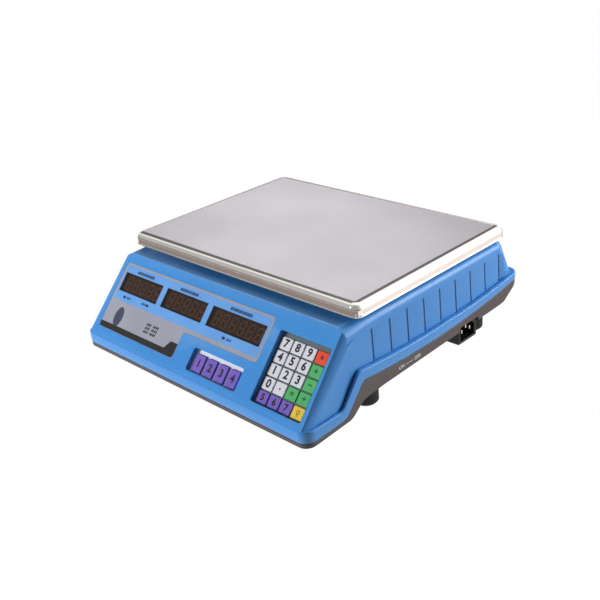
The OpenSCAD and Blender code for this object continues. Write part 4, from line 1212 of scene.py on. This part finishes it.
def signShapes(name, colour, sign):
    lift = keySign["lift"]
    if sign == "lamp":
        return lampMark(lift)
    if sign == ".":
        return [prism(ellipse(0, 0, keySign["dot"], keySign["dot"], keySign["dotSteps"]), -lift, lift)]
    large = colour == "white" or "memory" in name
    size = keySign["size"] if large else keySign["smallSize"]
    return [word(sign, size, keySign["bold"] if sign.isdigit() else keySign["thin"], 2 * lift)]


for name, (colour, sign) in legends.items():
    low, high = nodeBox(name, panel)
    middle = [(low[i] + high[i]) / 2 for i in range(2)]
    cap = piece(name.replace("key_", "keyCap_"), [keyCap(low, high)], keyFinish[colour], panel)
    settle(cap, name, "key_" + colour, name)
    marks = [shift(shape, *middle, high[2]) for shape in signShapes(name, colour, sign)]
    settle(piece(name.replace("key_", "keyMark_"), marks, keyInk, panel), name, "key_" + colour)
print("keys:", len(legends))

# Feet
knob = {"ribs": 32, "rib": 0.55, "steps": 192, "hole": 4.3, "holeDeep": 11.2,
        "foot": ((2.4, 0.0, 0.0), (2.0, 0.15, 0.0), (0.5, 1.7, 0.3), (0.0, 2.4, 1.0)),
        "top": ((0.0, 1.4, 1.0), (0.3, 0.6, 0.6), (1.1, 0.0, 0.0))}
footAngle = 40
# the lighter grey at sharp edges is wear and also a painted highlight, as on the inlet's frame
blackLook = {"tint": (20, 19, 20), "shade": (27, 26, 27), "rubAndHighlight": (92, 89, 88), "rough": (0.36, 0.46),
             "grain": 1300, "cloud": 25, "bump": 0.3, "depth": 0.03, "fixed": {"Specular IOR Level": 0.25}}
blackPlastic = moulded("blackPlastic", blackLook)
steelLook = {"tint": (186, 184, 182), "shade": (168, 166, 164), "rough": (0.28, 0.36), "across": 400.0,
             "along": 60.0, "bump": 0.1, "depth": 0.01}
plainSteel = metal("plainSteel", steelLook)
thread = {"pitch": 1.25, "deep": 0.55, "rows": 8, "steps": 28, "tip": 1.2, "tipDeep": 0.7}


def knobShape(low, high):
    # each level is a radius, a height and how far the ribs stand out
    r = (high[0] - low[0]) / 2
    tall = high[2] - low[2]
    levels = [(r - inset, rise, share) for inset, rise, share in knob["foot"]]
    levels += [(r - inset, tall - drop, share) for inset, drop, share in knob["top"]]
    levels += [(knob["hole"], tall, 0), (knob["hole"], tall - knob["holeDeep"], 0)]
    rings = []
    for radius, z, share in levels:
        ring = []
        for a in circle(knob["steps"]):
            wave = radius - knob["rib"] * share * (0.5 - 0.5 * cos(knob["ribs"] * a))
            ring.append((wave * cos(a), wave * sin(a), z))
        rings.append(ring)
    return loft(rings)


def studShape(low, high):
    # a rod with a screw thread, its ends pointed a little
    r = (high[0] - low[0]) / 2
    tall = high[2] - low[2]
    rows = int(tall / thread["pitch"] * thread["rows"])
    rings = []
    for k in range(rows + 1):
        z = tall * k / rows
        end = min(1, min(z, tall - z) / thread["tip"])
        ring = []
        for a in circle(thread["steps"]):
            phase = (z / thread["pitch"] - a / (2 * pi)) % 1
            radius = r - thread["deep"] * abs(2 * phase - 1) - thread["tipDeep"] * (1 - end)
            ring.append((radius * cos(a), radius * sin(a), z))
        rings.append(ring)
    return loft(rings)


for end in ("front_right", "front_left", "rear_right", "rear_left"):
    for kind, maker, finish, slot in (("knob", knobShape, blackPlastic, "foot_plastic"),
                                      ("stud", studShape, plainSteel, "plain_steel")):
        node = "foot_%s_%s" % (kind, end)
        low, high = nodeBox(node)
        made = shift(maker(low, high), (low[0] + high[0]) / 2, (low[1] + high[1]) / 2, low[2])
        settle(piece(kind + "_" + end, [made], finish, angle=footAngle), kind + "_" + end, slot, node)
print("feet: four knobs on four studs")

# Mains inlet and the switch's mark on the right side
sideways = Matrix(((0, 0, 1, 0), (1, 0, 0, 0), (0, 1, 0, 0), (0, 0, 0, 1)))


def onSide(x, y, z):
    return Matrix.Translation((x * mm, y * mm, z * mm)) @ sideways @ part


socket = {"wide": 24.4, "high": 16.6, "corner": 4.0,
          "mouth": ((0.0, -17.0), (0.0, -0.6), (0.7, 0.1), (0.75, 2.0)),
          "pins": ((-7.0, 1.0), (0.0, 5.0), (7.0, 1.0)), "pin": (1.0, 2.0), "pinEnds": (-32.0, -2.0),
          "pinEdge": 0.4, "pinSteps": 3}
pinLook = {"tint": (214, 210, 204), "shade": (200, 196, 190), "rough": (0.16, 0.22), "across": 300.0,
           "along": 300.0, "bump": 0.05, "depth": 0.01}
pinMetal = metal("pinMetal", pinLook)
inletPlace = onSide(inlet["x"], inlet["y"], inlet["z"])


def socketOutline(grow):
    x = socket["wide"] / 2 + grow
    y = socket["high"] / 2 + grow
    c = socket["corner"]
    return [(-x, -y), (x, -y), (x, y - c), (x - c, y), (c - x, y), (-x, y - c)]


x, y = inlet["wide"] / 2, inlet["high"] / 2
block = slab(-x, -y, x, y, inlet["round"], crown(-inlet["deep"], 0, inlet["edge"]))
inletPiece = piece("mainsInlet", [block], blackPlastic, inletPlace)
mouth = loft([[(x, y, z) for x, y in socketOutline(grow)] for grow, z in socket["mouth"]])
carve(inletPiece, [mouth], inletPlace)
settle(inletPiece, "case", "black_plastic", "inlet_body")
x, y = socket["pin"]
pinEdge = socket["pinEdge"]
pinSteps = socket["pinSteps"]
blade = slab(-x, -y, x, y, pinEdge, crown(*socket["pinEnds"], pinEdge, pinSteps), pinSteps)
pins = piece("inletPins", [shift(blade, *place) for place in socket["pins"]], pinMetal, inletPlace)
settle(pins, "case", "pin_metal", "inlet_pins")

mark = {"y": -24.0, "z": 32.2, "size": 4.0, "gap": 12.5, "dash": 6.0, "dashHalf": 0.35, "bold": 0.12,
        "lift": 0.08}
markLook = {"tint": (240, 238, 236), "shade": (190, 186, 184), "rough": (0.5, 0.6), "bump": 0.1}
markWhite = moulded("markWhite", markLook)
markPlace = onSide(case["halfWidth"] - base["inset"], mark["y"], mark["z"])
onWord, offWord = (shift(word(text, mark["size"], mark["bold"], mark["lift"]), side * mark["gap"], 0)
                   for text, side in (("ON", -1), ("OFF", 1)))
x, y, z = mark["dash"], mark["dashHalf"], mark["lift"] / 2
dash = box(-x, -y, -z, x, y, z)
settle(piece("switchMark", [onWord, dash, offWord], markWhite, markPlace), "case", "base_plastic")
print("inlet and switch mark")

# Solids that keep their own shape
rubberLook = {"tint": (90, 102, 104), "shade": (98, 111, 112), "rough": (0.5, 0.62), "grain": 1500,
              "bump": 0.3}
padLook = {"tint": (224, 224, 228), "shade": (214, 214, 220), "rough": (0.45, 0.55), "bump": 0.15}
boardLook = {"tint": (38, 92, 58), "shade": (46, 104, 66), "rough": (0.35, 0.45), "grain": 400, "cloud": 60}
ledLook = {"tint": (30, 26, 25), "shade": (36, 31, 30), "rough": (0.4, 0.5)}
ironLook = {"tint": (120, 116, 112), "shade": (96, 92, 90), "rough": (0.4, 0.5), "across": 2500.0,
            "along": 20.0}
alloyLook = {"tint": (200, 200, 204), "shade": (188, 188, 192), "rough": (0.3, 0.38), "across": 700.0,
             "along": 20.0}
batteryLook = {"tint": (46, 46, 50), "shade": (54, 54, 58), "rough": (0.45, 0.55), "rubAndHighlight": (90, 90, 94)}
capLook = {"tint": (30, 30, 31), "shade": (40, 40, 41), "rough": (0.6, 0.72), "grain": 900, "bump": 0.35}
carried = {
    moulded("matRubber", rubberLook): ("keypad_mat",), moulded("padWhite", padLook): ("memory_pad",),
    moulded("boardGreen", boardLook): ("front_board", "rear_board", "keypad_board"),
    moulded("ledBody", ledLook): ("front_digits", "rear_digits"),
    metal("coreIron", ironLook): ("transformer",),
    metal("cellAlloy", alloyLook): ("load_cell",), moulded("batteryCase", batteryLook): ("battery",),
    moulded("capRubber", capLook): ("post_caps",), baseGrey: ("battery_door",),
    blackPlastic: ("switch_body", "switch_rocker"),
    plainSteel: ("cell_spacer", "pan_spider", "cell_bolts", "spider_bolts", "case_screws")}
for finish, names in carried.items():
    for name in names:
        nodes[name].data.materials.clear()
        nodes[name].data.materials.append(finish)
print("carried over:", sum(len(names) for names in carried.values()), "solids")

# Stage
stage = {"floor": 6.0, "white": 0.45, "shadow": 0.05, "glow": 1.04, "rough": 0.9, "aim": (0.0, 0.0, 0.05)}
room = {"bright": 0.62, "dim": 0.08, "brightSide": (-0.3, 0.9, 0.15), "spread": (0.1, 0.95), "screen": 1.22,
        "wings": 0.5, "screenSpread": (-0.35, 0.4), "ring": (-0.655, 0.623, 0.428), "ringAt": 0.938,
        "ringShade": 0.12, "ringEdge": (0.03, 0.044), "lowUp": (0.05, 0.25, 0.2, 1.0),
        "lowAside": (-0.4, 0.2, 1.0, 0.7), "lowBack": (-0.1, 0.25, 0.0, 1.0)}
cards = {"front": ((-1.8, -1.8, 1.4, -0.2), (138, 124, 118)),
         "right": ((0.2, 0.05, 2.6, 2.6), (216, 205, 198)),
         "behind": ((-2.0, 0.22, 0.15, 1.6), (96, 84, 78))}
lamps = {"key": {"at": (-1.85, -2.15, 0.46), "size": 1.1, "power": 108.0, "gloss": False},
         "side": {"at": (0.85, 0.98, 0.52), "size": 0.7, "power": 15.5, "gloss": False},
         "edge": {"at": (1.29, 1.14, 0.61), "size": 0.8, "power": 6.0, "gloss": True},
         "strip": {"at": (-0.3, -1.1, 0.85), "size": 0.3, "power": 0.6, "gloss": True}}


def seenDirect(tree):
    # camera, mirror and glass rays
    path = tree.nodes.new("ShaderNodeLightPath")
    some = calc(tree, "MAXIMUM", path.outputs["Is Camera Ray"], path.outputs["Is Glossy Ray"])
    return calc(tree, "MAXIMUM", some, path.outputs["Is Transmission Ray"])


def floorFinish():
    material = bpy.data.materials.new("paleFloor")
    material.use_nodes = True
    tree = material.node_tree
    skin = tree.nodes["Principled BSDF"]
    skin.inputs["Base Color"].default_value = (stage["white"],) * 3 + (1.0,)
    skin.inputs["Roughness"].default_value = stage["rough"]
    skin.inputs["Specular IOR Level"].default_value = 0.0
    glow = tree.nodes.new("ShaderNodeEmission")
    glow.inputs["Strength"].default_value = stage["glow"]
    mix = tree.nodes.new("ShaderNodeMixShader")
    tree.links.new(calc(tree, "MULTIPLY", seenDirect(tree), 1 - stage["shadow"]), mix.inputs[0])
    tree.links.new(skin.outputs[0], mix.inputs[1])
    tree.links.new(glow.outputs[0], mix.inputs[2])
    tree.links.new(mix.outputs[0], tree.nodes["Material Output"].inputs["Surface"])
    return material


def towards(tree, where, side):
    node = tree.nodes.new("ShaderNodeVectorMath")
    node.operation = "DOT_PRODUCT"
    tree.links.new(where, node.inputs[0])
    node.inputs[1].default_value = Vector(side).normalized()
    return node.outputs["Value"]


def studioWorld():
    world = bpy.data.worlds.new("studio")
    scene.world = world
    world.use_nodes = True
    tree = world.node_tree
    sky = tree.nodes["Background"]
    sky.inputs["Color"].default_value = (1, 1, 1, 1)
    # the room is bright behind the scale, dim before it, and white where the camera looks past it
    where = tree.nodes.new("ShaderNodeTexCoord").outputs["Generated"]
    bright = towards(tree, where, room["brightSide"])
    around = spread(tree, bright, *room["spread"], room["dim"], room["bright"])
    # gloss shows a bright screen behind, in a dark frame, and paler screens before it over a dark edge
    split = tree.nodes.new("ShaderNodeSeparateXYZ")
    tree.links.new(where, split.inputs[0])
    x, y, z = split.outputs
    ring = calc(tree, "SUBTRACT", towards(tree, where, room["ring"]), room["ringAt"])
    screenFrame = spread(tree, calc(tree, "ABSOLUTE", ring), *room["ringEdge"], room["ringShade"], 1)
    lowEdge = calc(tree, "MULTIPLY", spread(tree, z, *room["lowUp"]), spread(tree, x, *room["lowAside"]))
    lowEdge = calc(tree, "MAXIMUM", lowEdge, spread(tree, y, *room["lowBack"]))
    screens = spread(tree, y, *room["screenSpread"], room["wings"], room["screen"])
    screens = calc(tree, "MULTIPLY", calc(tree, "MULTIPLY", screens, screenFrame), lowEdge)
    path = tree.nodes.new("ShaderNodeLightPath")
    change = calc(tree, "MULTIPLY", path.outputs["Is Glossy Ray"], calc(tree, "SUBTRACT", screens, around))
    light = calc(tree, "ADD", around, change)
    tree.links.new(calc(tree, "MAXIMUM", light, path.outputs["Is Camera Ray"]), sky.inputs["Strength"])


def cardFinish(name, shade):
    material, _, skin = startFinish(name, {})
    skin.inputs["Base Color"].default_value = (0, 0, 0, 1)
    skin.inputs["Emission Color"].default_value = tint(*shade)
    skin.inputs["Emission Strength"].default_value = 1.0
    return material


def flatSheet(name, x0, y0, x1, y1, z, finish):
    mesh = bpy.data.meshes.new(name)
    mesh.from_pydata([(x0, y0, z), (x1, y0, z), (x1, y1, z), (x0, y1, z)], [], [(0, 1, 2, 3)])
    mesh.materials.append(finish)
    obj = bpy.data.objects.new(name, mesh)
    scene.collection.objects.link(obj)
    return obj


half = stage["floor"]
floor = flatSheet("floor", -half, -half, half, half, 0, floorFinish())
# brown cards on the floor that only gloss picks up
for name, (corners, shade) in cards.items():
    cardPlane = flatSheet(name + "Card", *corners, mm, cardFinish(name + "Card", shade))
    for ray in ("camera", "diffuse", "transmission", "volume_scatter", "shadow"):
        setattr(cardPlane, "visible_" + ray, False)
studioWorld()
for name, lamp in lamps.items():
    data = bpy.data.lights.new(name, "AREA")
    data.energy = lamp["power"]
    data.shape = "DISK"
    data.size = lamp["size"]
    obj = bpy.data.objects.new(name, data)
    obj.location = lamp["at"]
    towardsPart = Vector(stage["aim"]) - Vector(lamp["at"])
    obj.rotation_euler = towardsPart.to_track_quat("-Z", "Y").to_euler()
    obj.visible_glossy = lamp["gloss"]
    scene.collection.objects.link(obj)

# Camera at the photograph's viewing angle
view = {"at": (0.66175, -0.62862, 0.47396), "azimuth": 46.44, "elevation": 25.33, "roll": 5.04,
        "lens": 54.12, "sensor": 36.0}
azimuth, elevation, roll = (radians(view[k]) for k in ("azimuth", "elevation", "roll"))
away = Vector((sin(azimuth) * cos(elevation), -cos(azimuth) * cos(elevation),
               sin(elevation)))
right = Vector((cos(azimuth), sin(azimuth), 0))
up = away.cross(right)
tiltedRight = cos(roll) * right - sin(roll) * up
tiltedUp = sin(roll) * right + cos(roll) * up
cameraData = bpy.data.cameras.new("camera")
cameraData.sensor_width = view["sensor"]
cameraData.lens = view["lens"]
camera = bpy.data.objects.new("camera", cameraData)
camera.matrix_world = (Matrix.Translation(view["at"])
                       @ Matrix((tiltedRight, tiltedUp, away)).transposed().to_4x4())
scene.collection.objects.link(camera)
scene.camera = camera
print("stage, lamps and camera set")
